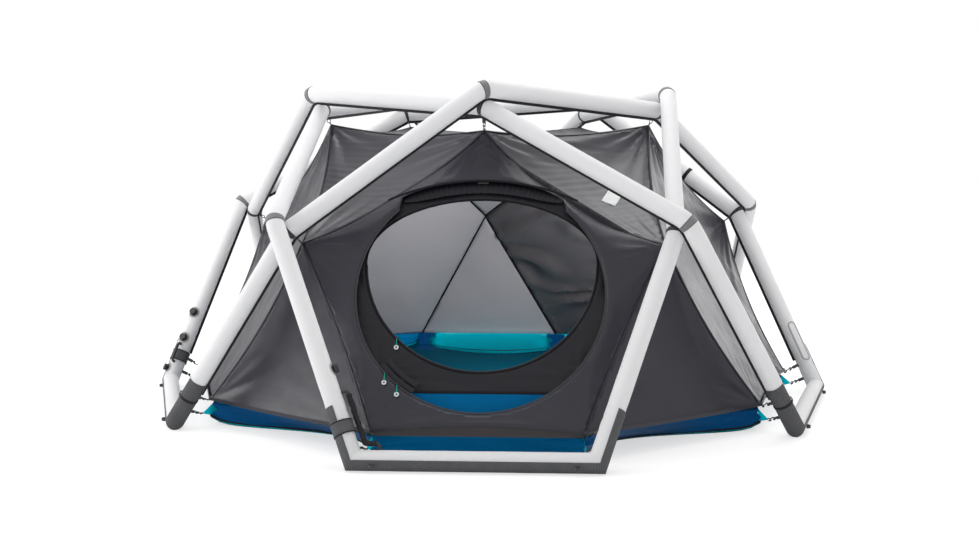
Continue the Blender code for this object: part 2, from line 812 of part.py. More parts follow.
def canopy_panel(sheet, corners):
    """Add a flat-edged panel of the canopy that sinks inward in its middle."""
    flat = sum(corners, Vector()) / len(corners)
    sheet.rings([corners], flat - outward(flat) * PANEL_SAG)


def canopy_roof():
    """Make the top of the inner tent and the tapes that hang it from the fly."""
    sheet = Cloth()
    tops = [canopy_point(fly_top(bay)) for bay in range(5)]
    canopy_panel(sheet, tops)
    for bay in range(5):
        sheet.face([tops[bay], canopy_mid(bay), tops[(bay + 1) % 5]])
    sheet.cut_back(CLEARANCE)
    skin = sheet.build("canopy_roof", CANOPY_FABRIC_THICKNESS, CANOPY_FABRIC)
    for bay in range(5):
        low = tops[bay] - outward(tops[bay]) * (CANOPY_FABRIC_THICKNESS / 2)
        high = fly_top(bay) - outward(fly_top(bay)) * (FABRIC + CLEARANCE + HANGER_WIDTH / 2)
        hanger = sweep("canopy_hanger_%d" % (bay + 1), rectangle_section(HANGER_WIDTH, WEBBING),
                       [low, high], Vector((0, 1, 0)), CANOPY_FABRIC)
        combine(skin, hanger, "UNION")
    return skin


def canopy_wall(bay):
    """Make one wall of the inner tent and the gussets beside it."""
    sheet = Cloth()
    canopy_panel(sheet, [canopy_point(fly_top(bay)), canopy_mid(bay - 1), canopy_foot(bay, -1),
                         canopy_foot(bay, 1), canopy_mid(bay)])
    for beside in ((0, 1) if bay == 1 else (bay,)):
        sheet.face([canopy_mid(beside), canopy_foot(beside, 1), canopy_foot(beside + 1, -1)])
    sheet.cut_back(2 * CLEARANCE)
    return sheet.build("canopy_%s_wall" % BAYS[bay], CANOPY_FABRIC_THICKNESS, CANOPY_FABRIC)


def inset(outline, amounts):
    """Move each side of an outline inward, side i starting at corner i."""
    lines = []
    for i, (x, y) in enumerate(outline):
        nx, ny = outline[(i + 1) % len(outline)]
        run = math.hypot(nx - x, ny - y)
        ux, uy = (nx - x) / run, (ny - y) / run
        lines.append((x - uy * amounts[i], y + ux * amounts[i], ux, uy))
    corners = []
    for i, (x, y, ux, uy) in enumerate(lines):
        px, py, vx, vy = lines[i - 1]
        share = ((x - px) * uy - (y - py) * ux) / (vx * uy - vy * ux)
        corners.append((px + vx * share, py + vy * share))
    return corners


def inner_front():
    """Make the inner tent's front wall, its blue sill, the inner zip and the stowed door."""
    frame = inner_frame()
    back = frame.inverted()
    points = [back @ p for p in (canopy_point(fly_top(0)), canopy_mid(4), canopy_foot(0, -1),
                                 canopy_foot(0, 1), canopy_mid(0))]
    top, left, left_foot, right_foot, right = [(p.x, p.y) for p in points]
    sill_level = (SILL_HEIGHT - DOOR_HEIGHT) / frame.col[1].z
    share = (left[1] - sill_level) / (left[1] - left_foot[1])
    sill_half = abs(left[0]) + (abs(left_foot[0]) - abs(left[0])) * share
    wall = [top, left, (-sill_half, sill_level), (sill_half, sill_level), right]
    wall = inset(wall, [PANEL_INSET, PANEL_INSET, CLEARANCE / 2, PANEL_INSET, PANEL_INSET])
    panel = prism("inner_front_panel", wall, -FABRIC, 0, PANEL_FABRIC, frame)
    cut_with(panel, prism("inner_door_cutter", inner_outline(), -CUT_REACH, CUT_REACH,
                          PANEL_FABRIC, frame))
    sill = [(-sill_half, sill_level), left_foot, right_foot, (sill_half, sill_level)]
    sill = inset(sill, [PANEL_INSET, CLEARANCE, PANEL_INSET, CLEARANCE / 2])
    prism("door_sill", sill, -FABRIC, 0, FLOOR_FABRIC, frame)
    centre = Vector((0, CROWN_CENTRE, CLEARANCE + STOW_DEPTH / 2))
    radius = CROWN_RADIUS - STOW_WIDTH / 2
    count = round(2 * STOW_HALF_ANGLE / ZIP_STEP)
    arc = []
    for i in range(count + 1):
        a = math.pi / 2 - STOW_HALF_ANGLE + 2 * STOW_HALF_ANGLE * i / count
        arc.append(centre + Vector((radius * math.cos(a), radius * math.sin(a), 0)))
    section = [(u * STOW_WIDTH / 2, v * STOW_DEPTH / 2) for u, v in circle_section(1, 10, math.pi / 10)]
    sweep("stowed_door", section, arc, Vector((0, 1, 0)), STOW_FABRIC, matrix=frame)
    place = Vector((0, CROWN_CENTRE + radius, STOW_DEPTH + 2 * CLEARANCE + TOGGLE_RADIUS))
    half = Vector((TOGGLE_LENGTH / 2, 0, 0))
    sweep("stow_toggle", circle_section(TOGGLE_RADIUS, 8, math.pi / 8), [place - half, place + half],
          Vector((0, 0, 1)), BLACK_PLASTIC, matrix=frame)


def tub_outline(radius, bay_bow, gusset_bow):
    """Return the corners of the tub and the middle of each side, drawn in by its bow."""
    angles = [bay_angle(bay) + side * FOOT_HALF_ANGLE for bay in range(5) for side in (-1, 1)]
    corners = [radius * level_direction(a) for a in angles]
    points = []
    for i, corner in enumerate(corners):
        after = corners[(i + 1) % len(corners)]
        bow = gusset_bow if i % 2 else bay_bow
        middle = (corner + after) / 2
        points += [corner, middle - middle.normalized() * (bow * (after - corner).length)]
    return points


def tub():
    """Make the ground sheet and the sloping wall sewn round it."""
    bows = (BAY_BOW_SHARE, GUSSET_BOW_SHARE)
    floor = [(p.x, p.y) for p in tub_outline(FLOOR_RADIUS - CLEARANCE, *bows)]
    prism("ground_sheet", floor, 0, FLOOR_THICKNESS, FLOOR_FABRIC, Matrix())
    top_radius = FLY_FOOT_RADIUS - CANOPY_GAP
    top = Vector((0, 0, CANOPY_FOOT_HEIGHT - CLEARANCE))
    loops = [tub_outline(FLOOR_RADIUS, *bows), tub_outline(FLOOR_RADIUS + FABRIC, *bows),
             [p + top for p in tub_outline(top_radius, 0, 0)],
             [p + top for p in tub_outline(top_radius - FABRIC, 0, 0)]]
    size = len(loops[0])
    faces = []
    for row in range(len(loops)):
        after = (row + 1) % len(loops)
        for i in range(size):
            k = (i + 1) % size
            near, far = (k, i) if row == len(loops) - 1 else (i, k)
            faces.append([row * size + i, row * size + k, after * size + far])
            faces.append([row * size + near, after * size + k, after * size + i])
    solid("tub_wall", [p for loop in loops for p in loop], faces, FLOOR_FABRIC)


def zip_chain(name, frame, radius, rise, start, turn, depth):
    """Make the coil of a zip along a circle in a wall's frame; return its middle radius."""
    middle = radius - ZIP_WIDTH / 2
    count = round(turn / ZIP_STEP)
    arc = [Vector((middle * math.cos(start + turn * i / count),
                   rise + middle * math.sin(start + turn * i / count), depth))
           for i in range(count + 1)]
    sweep(name, rectangle_section(ZIP_THICKNESS, ZIP_WIDTH), arc, Vector((0, 0, 1)), ZIP_NYLON,
          matrix=frame)
    return middle


def slider_with_pull(name, frame, rise, middle, angle, depth):
    """Make a zip slider that turns about the zip's centre and the pull that swings on it."""
    axis = frame @ Matrix.Translation((0, rise, 0))
    out = Vector((math.cos(angle), math.sin(angle), 0))
    run = Vector((-math.sin(angle), math.cos(angle), 0))
    place = out * middle + Vector((0, 0, depth))
    half_width = ZIP_WIDTH / 2
    half_height = ZIP_THICKNESS / 2 + ZIP_PLAY
    back = -half_width - ZIP_PLAY
    section = [(back - SLIDER_WALL, half_height + SLIDER_WALL), (half_width, half_height + SLIDER_WALL),
               (half_width, half_height), (back, half_height), (back, -half_height),
               (half_width, -half_height), (half_width, -half_height - SLIDER_WALL),
               (back - SLIDER_WALL, -half_height - SLIDER_WALL)]
    ends = [place + run * (SLIDER_LENGTH / 2), place - run * (SLIDER_LENGTH / 2)]
    slider = sweep(name + "_slider", section, ends, out, BLACK_PLASTIC, matrix=axis)
    foot = half_height + SLIDER_WALL / 2
    crest = half_height + SLIDER_WALL + BAIL_RISE
    side = Vector((BAIL_LENGTH / 2, 0, 0))
    low = Vector((0, 0, foot))
    high = Vector((0, 0, crest))
    path = [place - side + low, place - side + high, place + side + high, place + side + low]
    bail = sweep(name + "_bail", rectangle_section(BAIL_WIRE, BAIL_WIRE), path, Vector((0, 1, 0)),
                 BLACK_PLASTIC)
    combine(slider, bail, "UNION")
    hinge = axis @ Matrix.Translation(place + high)
    eye_turn = Matrix.Rotation(math.pi / 2, 4, "Y")
    pull = ring_solid(name + "_pull", EYE_RADIUS, EYE_WIRE, PULL_PLASTIC, eye_turn)
    pull.matrix_world = hinge
    cord = sweep(name + "_pull_cord", circle_section(PULL_CORD, 8), [Vector((0, -EYE_RADIUS, 0)),
                 Vector((0, -PULL_LENGTH, 0))], Vector((1, 0, 0)), PULL_PLASTIC)
    combine(pull, cord, "UNION")
    bead = prism(name + "_pull_bead", circle_section(BEAD_RADIUS, 16), -BEAD_THICKNESS / 2,
                 BEAD_THICKNESS / 2, PULL_PLASTIC, None)
    bead.data.transform(Matrix.Translation((0, -PULL_LENGTH, 0)))
    combine(pull, bead, "UNION")
    return slider, pull


def zips():
    """Make both zips with their sliders and pulls."""
    frame = door_frame()
    apothem = DOOR_RADIUS * math.cos(math.pi / DOOR_SIDES) - CLEARANCE
    start = math.pi / 2 + DOOR_GAP_ANGLE
    turn = math.tau - 2 * DOOR_GAP_ANGLE
    depth = -FABRIC / 2
    middle = zip_chain("door_zip", frame, apothem, 0, start, turn, depth)
    slider_with_pull("door_zip_upper", frame, 0, middle, UPPER_SLIDER_ANGLE, depth)
    slider_with_pull("door_zip_lower", frame, 0, middle, LOWER_SLIDER_ANGLE, depth)
    frame = inner_frame()
    apothem = INNER_DOOR_RADIUS * math.cos(math.pi / DOOR_SIDES) - CLEARANCE
    middle = zip_chain("inner_zip", frame, apothem, INNER_DOOR_RISE, math.pi + ZIP_END_GAP,
                       math.pi - 2 * ZIP_END_GAP, depth)
    slider_with_pull("inner_zip", frame, INNER_DOOR_RISE, middle, INNER_SLIDER_ANGLE, depth)


def leg_frame(bay, side, height, out):
    """Return the frame on a leg's axis at a distance from its foot, X along it and Z out."""
    leg = foot_cut(bay, side)[1]
    across = (out - leg * out.dot(leg)).normalized()
    frame = Matrix((leg, across.cross(leg), across)).transposed().to_4x4()
    frame.translation = foot_point(bay, side) + leg * height
    return frame


def valve(name, frame):
    """Make a valve base that hugs the tube and the lobed knob that turns on its neck."""
    inner = (TUBE_RADIUS + CLEARANCE) / math.cos(math.pi / VALVE_FLANGE_SIDES)
    outer = inner + VALVE_FLANGE_THICKNESS
    reach = 2 * VALVE_FLANGE_RADIUS
    base = sleeve(name + "_base", circle_section(inner, VALVE_FLANGE_SIDES),
                  circle_section(outer, VALVE_FLANGE_SIDES),
                  [Vector((-reach, 0, 0)), Vector((reach, 0, 0))], Vector((0, 0, 1)), BLACK_PLASTIC)
    base.matrix_world = frame
    disc = prism(name + "_disc", circle_section(VALVE_FLANGE_RADIUS, 16), 0, 2 * outer,
                 BLACK_PLASTIC, None)
    combine(base, disc, "INTERSECT")
    seat = outer - VALVE_FLANGE_THICKNESS / 2
    neck_top = outer + VALVE_NECK_HEIGHT
    neck = prism(name + "_neck", circle_section(VALVE_NECK_RADIUS, 12), seat, neck_top,
                 BLACK_PLASTIC, None)
    combine(base, neck, "UNION")
    count = KNOB_LOBES * KNOB_LOBE_STEPS
    outline = []
    for i in range(count):
        radius = KNOB_RADIUS - KNOB_LOBE_DEPTH * (1 + math.cos(math.tau * i / KNOB_LOBE_STEPS)) / 2
        a = math.tau * i / count
        outline.append((radius * math.cos(a), radius * math.sin(a)))
    low = outer + KNOB_LIFT
    knob = prism(name + "_knob", outline, low, neck_top + CLEARANCE + KNOB_ROOF, BLACK_PLASTIC,
                 frame)
    bore = prism(name + "_bore", circle_section((VALVE_NECK_RADIUS + CLEARANCE)
                 / math.cos(math.pi / 12), 12), low - KNOB_LIFT, neck_top + CLEARANCE,
                 BLACK_PLASTIC, None)
    combine(knob, bore, "DIFFERENCE")
    return knob


def level_direction(angle):
    """Return the level direction at an angle."""
    return Vector((math.cos(angle), math.sin(angle), 0))


def ground_tube_path(bay):
    """Return the ends of a ground tube, held off the legs by half a clearance."""
    ends = []
    for side in (-1, 1):
        cut, _, run = foot_cut(bay, side)
        ends.append(foot_point(bay, side) + run * (CLEARANCE / 2 / abs(run.dot(cut))))
    return ends


def hose(name, corners, tubes):
    """Make a short rubber hose with rounded bends whose ends are cut to fit the tubes."""
    path, _ = filleted(corners, HOSE_BEND, BEND_STEPS)
    reference = (corners[2] - corners[1]).normalized()
    made = sweep(name, circle_section(HOSE_RADIUS, HOSE_SIDES), path, reference, HOSE_RUBBER)
    for number, (tube, turn, side) in enumerate(tubes):
        section = circle_section(TUBE_RADIUS + CLEARANCE, TUBE_SIDES, turn)
        cut_with(made, sweep("%s_cutter_%d" % (name, number), section, tube, side, HOSE_RUBBER))
    return made


def air_fittings(arches):
    """Make the valves and link hoses of the front left leg and the left bay's rear leg."""
    flats = math.pi / TUBE_SIDES
    stand = TUBE_RADIUS + HOSE_STAND
    seat = TUBE_RADIUS - HOSE_RADIUS
    foot = foot_point(0, -1)
    _, leg, run = foot_cut(0, -1)
    inward = (run - leg * run.dot(leg)).normalized()
    upward = (leg - run * leg.dot(run)).normalized()
    valve("front_lock_valve", leg_frame(0, -1, HIGH_VALVE, inward))
    arch = arches[3]
    hose("front_link_hose", [foot + leg * HOSE_TOP + inward * seat,
                             foot + leg * HOSE_TOP + inward * stand,
                             foot + (leg + run) * (stand / leg.cross(run).length),
                             foot + run * HOSE_RUN + upward * stand,
                             foot + run * HOSE_RUN + upward * seat],
         [(arch.path[-2:], flats, arch.frames[-1]), (ground_tube_path(0), 0, Vector((0, 0, 1)))])
    foot = foot_point(4, -1)
    leg = foot_cut(4, -1)[1]
    for name, height, angle in (("inflation_valve", HIGH_VALVE, VALVE_ANGLE),
                                ("deflation_valve", MIDDLE_VALVE, VALVE_ANGLE),
                                ("side_lock_valve", LOW_VALVE, LOW_VALVE_ANGLE)):
        valve(name, leg_frame(4, -1, height, level_direction(angle)))
    out = leg_frame(4, -1, HIGH_VALVE, level_direction(VALVE_ANGLE)).col[2].to_3d()
    arch = arches[2]
    hose("side_link_hose", [foot + leg * SHORT_HOSE_TOP + out * seat,
                            foot + leg * SHORT_HOSE_TOP + out * stand,
                            foot + leg * SHORT_HOSE_FOOT + out * stand,
                            foot + leg * SHORT_HOSE_FOOT + out * seat],
         [(arch.path[-2:], flats, arch.frames[-1])])


def clear_scene():
    """Remove every object that the file opened with."""
    for found in list(bpy.data.objects):
        bpy.data.objects.remove(found)


def main():
    """Build every piece of the tent."""
    clear_scene()
    arches = [Arch(bay) for bay in range(5)]
    for arch in arches:
        arch.build()
    for bay in range(5):
        sweep(BAYS[bay] + "_ground_tube", circle_section(TUBE_RADIUS, TUBE_SIDES),
              ground_tube_path(bay), Vector((0, 0, 1)), TUBE_FABRIC, foot_cut(bay, -1)[0],
              foot_cut(bay, 1)[0])
        boot(bay)
        lashing("peak_lashing_%d" % (bay + 1), arches[bay], 1, arches[bay - 1], 2, fly_top(bay))
        over = arches[bay - 1]
        under = arches[(bay + 1) % 5]
        lashing("side_lashing_%d" % (bay + 1), over, 3, under, 0, fly_mid(bay))
        fly_wall(bay)
    fly_roof()
    canopy_roof()
    for bay in range(1, 5):
        canopy_wall(bay)
    inner_front()
    tub()
    zips()
    air_fittings(arches)


if __name__ == "__main__":
    main()
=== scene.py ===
"""Looks of an inflatable dome tent: woven air tubes, a dark fly sheet and an inner tent."""

import json
import logging
import math
from collections.abc import Callable, Sequence
from dataclasses import dataclass, field, replace
from enum import Enum

import bmesh
import bpy
import numpy as np
from mathutils import Matrix, Vector, geometry, noise


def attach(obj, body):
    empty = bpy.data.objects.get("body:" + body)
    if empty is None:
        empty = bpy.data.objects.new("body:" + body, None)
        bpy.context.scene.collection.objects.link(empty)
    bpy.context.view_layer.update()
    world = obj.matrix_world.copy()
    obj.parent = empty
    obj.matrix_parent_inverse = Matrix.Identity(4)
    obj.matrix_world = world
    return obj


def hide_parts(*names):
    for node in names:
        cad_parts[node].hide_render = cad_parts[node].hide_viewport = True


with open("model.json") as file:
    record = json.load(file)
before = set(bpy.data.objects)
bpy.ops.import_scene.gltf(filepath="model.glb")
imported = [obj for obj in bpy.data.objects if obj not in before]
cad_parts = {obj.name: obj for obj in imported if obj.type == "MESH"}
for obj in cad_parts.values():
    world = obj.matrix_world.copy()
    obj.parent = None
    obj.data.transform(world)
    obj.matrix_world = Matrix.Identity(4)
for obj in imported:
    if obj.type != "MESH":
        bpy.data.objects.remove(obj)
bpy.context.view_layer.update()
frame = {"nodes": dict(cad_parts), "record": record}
LOG = logging.getLogger("tent")
BODY = "tent"
BAYS = ("front", "right", "back_right", "back_left", "left")
GOLDEN = (1 + math.sqrt(5)) / 2
Colour = tuple[float, float, float]
Points = list[Vector]


# Finishes


class NodeBench:
    """A small helper that adds and links the nodes of one material."""

    def __init__(self, name: str) -> None:
        """Start an empty material with a Principled shader.

        Args:
            name: the material's name.
        """
        self.material = bpy.data.materials.new(name)
        self.material.use_nodes = True
        self.nodes = self.material.node_tree.nodes
        self.links = self.material.node_tree.links
        self.shader = self.nodes["Principled BSDF"]
        self.output = self.nodes["Material Output"]

    def plug(self, socket: bpy.types.NodeSocket, value: object) -> None:
        """Link a socket to an output, or give it a value."""
        if isinstance(value, bpy.types.NodeSocket):
            self.links.new(value, socket)
        else:
            socket.default_value = value

    def add(self, kind: str, **inputs: object) -> bpy.types.Node:
        """Add a node and set or link its inputs.

        Args:
            kind: the node's type, such as "ShaderNodeTexNoise".
            inputs: values or output sockets by input name, with _ for a space, or by
                number as i0, i1 and so on.

        Returns:
            The new node.
        """
        node = self.nodes.new(kind)
        for key, value in inputs.items():
            numbered = key[0] == "i" and key[1:].isdigit()
            self.plug(node.inputs[int(key[1:]) if numbered else key.replace("_", " ")], value)
        return node

    def maths(self, operation: str, a: object, b: object = 0.0,
              clamp: bool = False) -> bpy.types.NodeSocket:
        """Return the result of a Math node.

        Args:
            operation: the node's operation.
            a: the first value or socket.
            b: the second value or socket.
            clamp: keep the result between 0 and 1.

        Returns:
            The output socket.
        """
        node = self.nodes.new("ShaderNodeMath")
        node.operation = operation
        node.use_clamp = clamp
        for place, value in enumerate((a, b)):
            self.plug(node.inputs[place], value)
        return node.outputs[0]

    def wave(self, value: bpy.types.NodeSocket, scale: float) -> bpy.types.NodeSocket:
        """Return the sine of a scaled value."""
        return self.maths("SINE", self.maths("MULTIPLY", value, scale))

    def blend(self, share: object, a: object, b: object) -> bpy.types.NodeSocket:
        """Return a colour between two colours.

        Args:
            share: how much of the second colour shows.
            a: the first colour or socket.
            b: the second colour or socket.

        Returns:
            The output socket.
        """
        node = self.nodes.new("ShaderNodeMix")
        node.data_type = "RGBA"
        self.plug(node.inputs[0], share)
        for place, value in ((6, a), (7, b)):
            linked = isinstance(value, bpy.types.NodeSocket)
            self.plug(node.inputs[place], value if linked else (*value, 1.0))
        return node.outputs[2]

    def coordinates(self, place: str, scale: Colour = (1.0, 1.0, 1.0)) -> bpy.types.NodeSocket:
        """Return scaled texture coordinates.

        Args:
            place: "UV" for lengths along the cloth or "Object" for the tent's own space.
            scale: how many pattern units fit in a metre.

        Returns:
            The output socket.
        """
        source = self.nodes.new("ShaderNodeTexCoord").outputs[place]
        return self.add("ShaderNodeMapping", Vector=source, Scale=scale).outputs[0]

    def noise(self, where: bpy.types.NodeSocket, scale: float,
              detail: float = 3.0) -> bpy.types.NodeSocket:
        """Return a noise value.

        Args:
            where: the coordinates.
            scale: the size of the noise.
            detail: its octaves.

        Returns:
            The factor socket.
        """
        return self.add("ShaderNodeTexNoise", Vector=where, Scale=scale, Detail=detail).outputs[0]

    def bump(self, height: bpy.types.NodeSocket, strength: float, distance: float,
             before: bpy.types.NodeSocket | None = None) -> bpy.types.NodeSocket:
        """Return a bumped normal.

        Args:
            height: the height value.
            strength: how strong the bump is.
            distance: the height of 1 in metres.
            before: a normal that this one adds to.

        Returns:
            The normal socket.
        """
        node = self.add("ShaderNodeBump", Height=height, Strength=strength, Distance=distance)
        if before is not None:
            self.links.new(before, node.inputs["Normal"])
        return node.outputs[0]

    def set(self, **values: object) -> None:
        """Set or link inputs of the Principled shader.

        Args:
            values: values or sockets by input name, with _ for a space.
        """
        for key, value in values.items():
            if key.endswith("Color") and not isinstance(value, bpy.types.NodeSocket):
                value = (*value, 1.0)
            self.plug(self.shader.inputs[key.replace("_", " ")], value)

    def let_light_through(self, colour: Colour, share: float) -> None:
        """Mix in a translucent shader, for cloth that is lit from behind.

        Args:
            colour: the colour of the light that comes through.
            share: how much of the surface is translucent.
        """
        through = self.add("ShaderNodeBsdfTranslucent", Color=(*colour, 1.0))
        mix = self.nodes.new("ShaderNodeMixShader")
        mix.inputs[0].default_value = share
        self.links.new(self.shader.outputs[0], mix.inputs[1])
        self.links.new(through.outputs[0], mix.inputs[2])
        self.links.new(mix.outputs[0], self.output.inputs["Surface"])


@dataclass(frozen=True)
class WovenCloth:
    """Plain woven or coated cloth, with a fine weave and soft creases."""

    name: str
    colour: Colour
    shade: Colour
    roughness: float = 0.6
    threads_per_metre: float = 1400.0
    weave_depth: float = 0.00005
    crease_size: float = 9.0
    crease_depth: float = 0.0015
    sheen: float = 0.1
    specular: float = 0.4
    through: Colour | None = None
    through_share: float = 0.0

    def build(self) -> bpy.types.Material:
        """Return the finished material."""
        bench = NodeBench(self.name)
        cloth = bench.coordinates("UV")
        threads = bench.coordinates("UV", (self.threads_per_metre, self.threads_per_metre, 1.0))
        checker = bench.add("ShaderNodeTexChecker", Vector=threads, Scale=1.0).outputs[1]
        broad = bench.noise(cloth, self.crease_size, 4.0)
        fine = bench.noise(cloth, self.crease_size * 9, 3.0)
        mottled = bench.maths("MULTIPLY", bench.maths("ADD", broad, fine), 0.5)
        tone = bench.blend(bench.maths("MULTIPLY", mottled, 0.9, True), self.colour, self.shade)
        woven = bench.blend(bench.maths("MULTIPLY", checker, 0.06), tone, self.shade)
        rough = bench.maths("ADD", bench.maths("MULTIPLY", fine, 0.16), self.roughness - 0.08, True)
        normal = bench.bump(broad, 0.5, self.crease_depth)
        normal = bench.bump(checker, 0.35, self.weave_depth, normal)
        bench.set(Base_Color=woven, Roughness=rough, Normal=normal, Sheen_Weight=self.sheen,
                  Sheen_Roughness=0.5, Specular_IOR_Level=self.specular)
        if self.through is not None:
            bench.let_light_through(self.through, self.through_share)
        return bench.material


@dataclass(frozen=True)
class RipstopCloth:
    """Coated ripstop: a fine grid of thicker threads over a smooth dark cloth."""

    name: str
    colour: Colour
    shade: Colour
    roughness: float = 0.5
    grid_per_metre: float = 190.0
    grid_depth: float = 0.00012
    crumples: float = 13.0
    sheen: float = 0.0
    specular: float = 0.5
    through: Colour | None = None
    through_share: float = 0.0

    def build(self) -> bpy.types.Material:
        """Return the finished material."""
        bench = NodeBench(self.name)
        cloth = bench.coordinates("UV")
        grid = bench.coordinates("UV", (self.grid_per_metre,) * 3)
        bars = bench.add("ShaderNodeTexBrick", Vector=grid, Scale=1.0, Mortar_Size=0.06,
                         Brick_Width=1.0, Row_Height=1.0, Mortar_Smooth=0.5)
        bars.offset = 0.0
        raised = bars.outputs[1]
        broad = bench.noise(cloth, 5.0, 5.0)
        streaks = bench.noise(bench.coordinates("UV", (3.0, 26.0, 1.0)), 2.0, 4.0)
        tone = bench.blend(bench.maths("MULTIPLY", broad, 0.9, True), self.colour, self.shade)
        lined = bench.blend(bench.maths("MULTIPLY", raised, 0.10), tone, (0.16, 0.16, 0.18))
        crumple = bench.add("ShaderNodeTexVoronoi", Vector=cloth, Scale=self.crumples)
        crumple.feature = "DISTANCE_TO_EDGE"
        rough = bench.maths("ADD", bench.maths("MULTIPLY", broad, 0.18), self.roughness - 0.09, True)
        normal = bench.bump(broad, 0.35, 0.004)
        normal = bench.bump(streaks, 0.25, 0.0015, normal)
        normal = bench.bump(crumple.outputs[0], 0.12, 0.004, normal)
        normal = bench.bump(raised, 0.3, self.grid_depth, normal)
        bench.set(Base_Color=lined, Roughness=rough, Normal=normal, Sheen_Weight=self.sheen,
                  Sheen_Roughness=0.4, Specular_IOR_Level=self.specular)
        if self.through is not None:
            bench.let_light_through(self.through, self.through_share)
        return bench.material


@dataclass(frozen=True)
class DottedCloth:
    """Heavy abrasion cloth with rows of small pale dots."""

    name: str
    colour: Colour
    dot_colour: Colour
    dots_per_metre: float = 340.0
    roughness: float = 0.75

    def build(self) -> bpy.types.Material:
        """Return the finished material."""
        bench = NodeBench(self.name)
        cells = bench.coordinates("UV", (self.dots_per_metre, self.dots_per_metre, 1.0))
        split = bench.add("ShaderNodeSeparateXYZ", Vector=cells)
        row = bench.maths("FLOOR", split.outputs[1])
        shifted = bench.maths("ADD", split.outputs[0], bench.maths("MULTIPLY", row, 0.5))
        across = bench.maths("SUBTRACT", bench.maths("FRACT", shifted), 0.5)
        down = bench.maths("SUBTRACT", bench.maths("FRACT", split.outputs[1]), 0.5)
        reach = bench.maths("ADD", bench.maths("MULTIPLY", across, across),
                            bench.maths("MULTIPLY", down, down))
        dot = bench.maths("LESS_THAN", reach, 0.075)
        wear = bench.noise(bench.coordinates("UV"), 22.0, 4.0)
        tone = bench.blend(bench.maths("MULTIPLY", wear, 0.6, True), self.colour,
                           tuple(0.6 * c for c in self.colour))
        shown = bench.maths("MULTIPLY", dot, bench.maths("ADD", wear, 0.15, True))
        painted = bench.blend(shown, tone, self.dot_colour)
        normal = bench.bump(wear, 0.3, 0.0015)
        normal = bench.bump(dot, 0.5, 0.0002, normal)
        bench.set(Base_Color=painted, Roughness=self.roughness, Normal=normal, Specular_IOR_Level=0.35)
        return bench.material


@dataclass(frozen=True)
class Webbing:
    """Ribbed tape: rows of ribs across its width, with a darker edge."""

    name: str
    colour: Colour
    edge: Colour
    width: float = 0.026
    ribs_per_metre: float = 700.0

    def build(self) -> bpy.types.Material:
        """Return the finished material."""
        bench = NodeBench(self.name)
        place = bench.add("ShaderNodeSeparateXYZ", Vector=bench.coordinates("UV"))
        ribs = bench.wave(place.outputs[0], self.ribs_per_metre * math.tau)
        chevron = bench.wave(place.outputs[1], self.ribs_per_metre * 2.6)
        off = bench.maths("ABSOLUTE", place.outputs[1])
        rim = bench.maths("GREATER_THAN", off, self.width * 0.40)
        fuzz = bench.noise(bench.coordinates("UV"), 320.0, 2.0)
        tone = bench.blend(bench.maths("MULTIPLY", fuzz, 0.7), self.colour,
                           tuple(0.55 * c for c in self.colour))
        edged = bench.blend(rim, tone, self.edge)
        height = bench.maths("ADD", ribs, bench.maths("MULTIPLY", chevron, 0.4))
        normal = bench.bump(height, 0.4, 0.0002)
        bench.set(Base_Color=edged, Roughness=0.78, Normal=normal, Sheen_Weight=0.2,
                  Sheen_Roughness=0.5)
        return bench.material


@dataclass(frozen=True)
class Moulded:
    """Moulded plastic or rubber with a faint grain and dull patches."""

    name: str
    colour: Colour
    roughness: float = 0.4
    grain: float = 900.0
    grain_depth: float = 0.00004
    specular: float = 0.5

    def build(self) -> bpy.types.Material:
        """Return the finished material."""
        bench = NodeBench(self.name)
        where = bench.coordinates("Object")
        dull = bench.noise(where, 35.0, 3.0)
        grain = bench.noise(where, self.grain, 2.0)
        tone = bench.blend(bench.maths("MULTIPLY", dull, 0.5), self.colour,
                           tuple(0.7 * c + 0.004 for c in self.colour))
        rough = bench.maths("ADD", bench.maths("MULTIPLY", dull, 0.2), self.roughness - 0.1, True)
        bench.set(Base_Color=tone, Roughness=rough, Normal=bench.bump(grain, 0.4, self.grain_depth),
                  Specular_IOR_Level=self.specular)
        return bench.material


@dataclass(frozen=True)
class ZipCoil:
    """A zip's coil: close teeth across a narrow tape."""

    name: str
    colour: Colour = (0.02, 0.02, 0.022)
    teeth_per_metre: float = 520.0

    def build(self) -> bpy.types.Material:
        """Return the finished material."""
        bench = NodeBench(self.name)
        place = bench.add("ShaderNodeSeparateXYZ", Vector=bench.coordinates("UV"))
        teeth = bench.wave(place.outputs[0], self.teeth_per_metre * math.tau)
        tone = bench.blend(bench.maths("MULTIPLY", teeth, 0.35, True), self.colour, (0.09, 0.09, 0.095))
        bench.set(Base_Color=tone, Roughness=0.42, Normal=bench.bump(teeth, 0.7, 0.0006))
        return bench.material


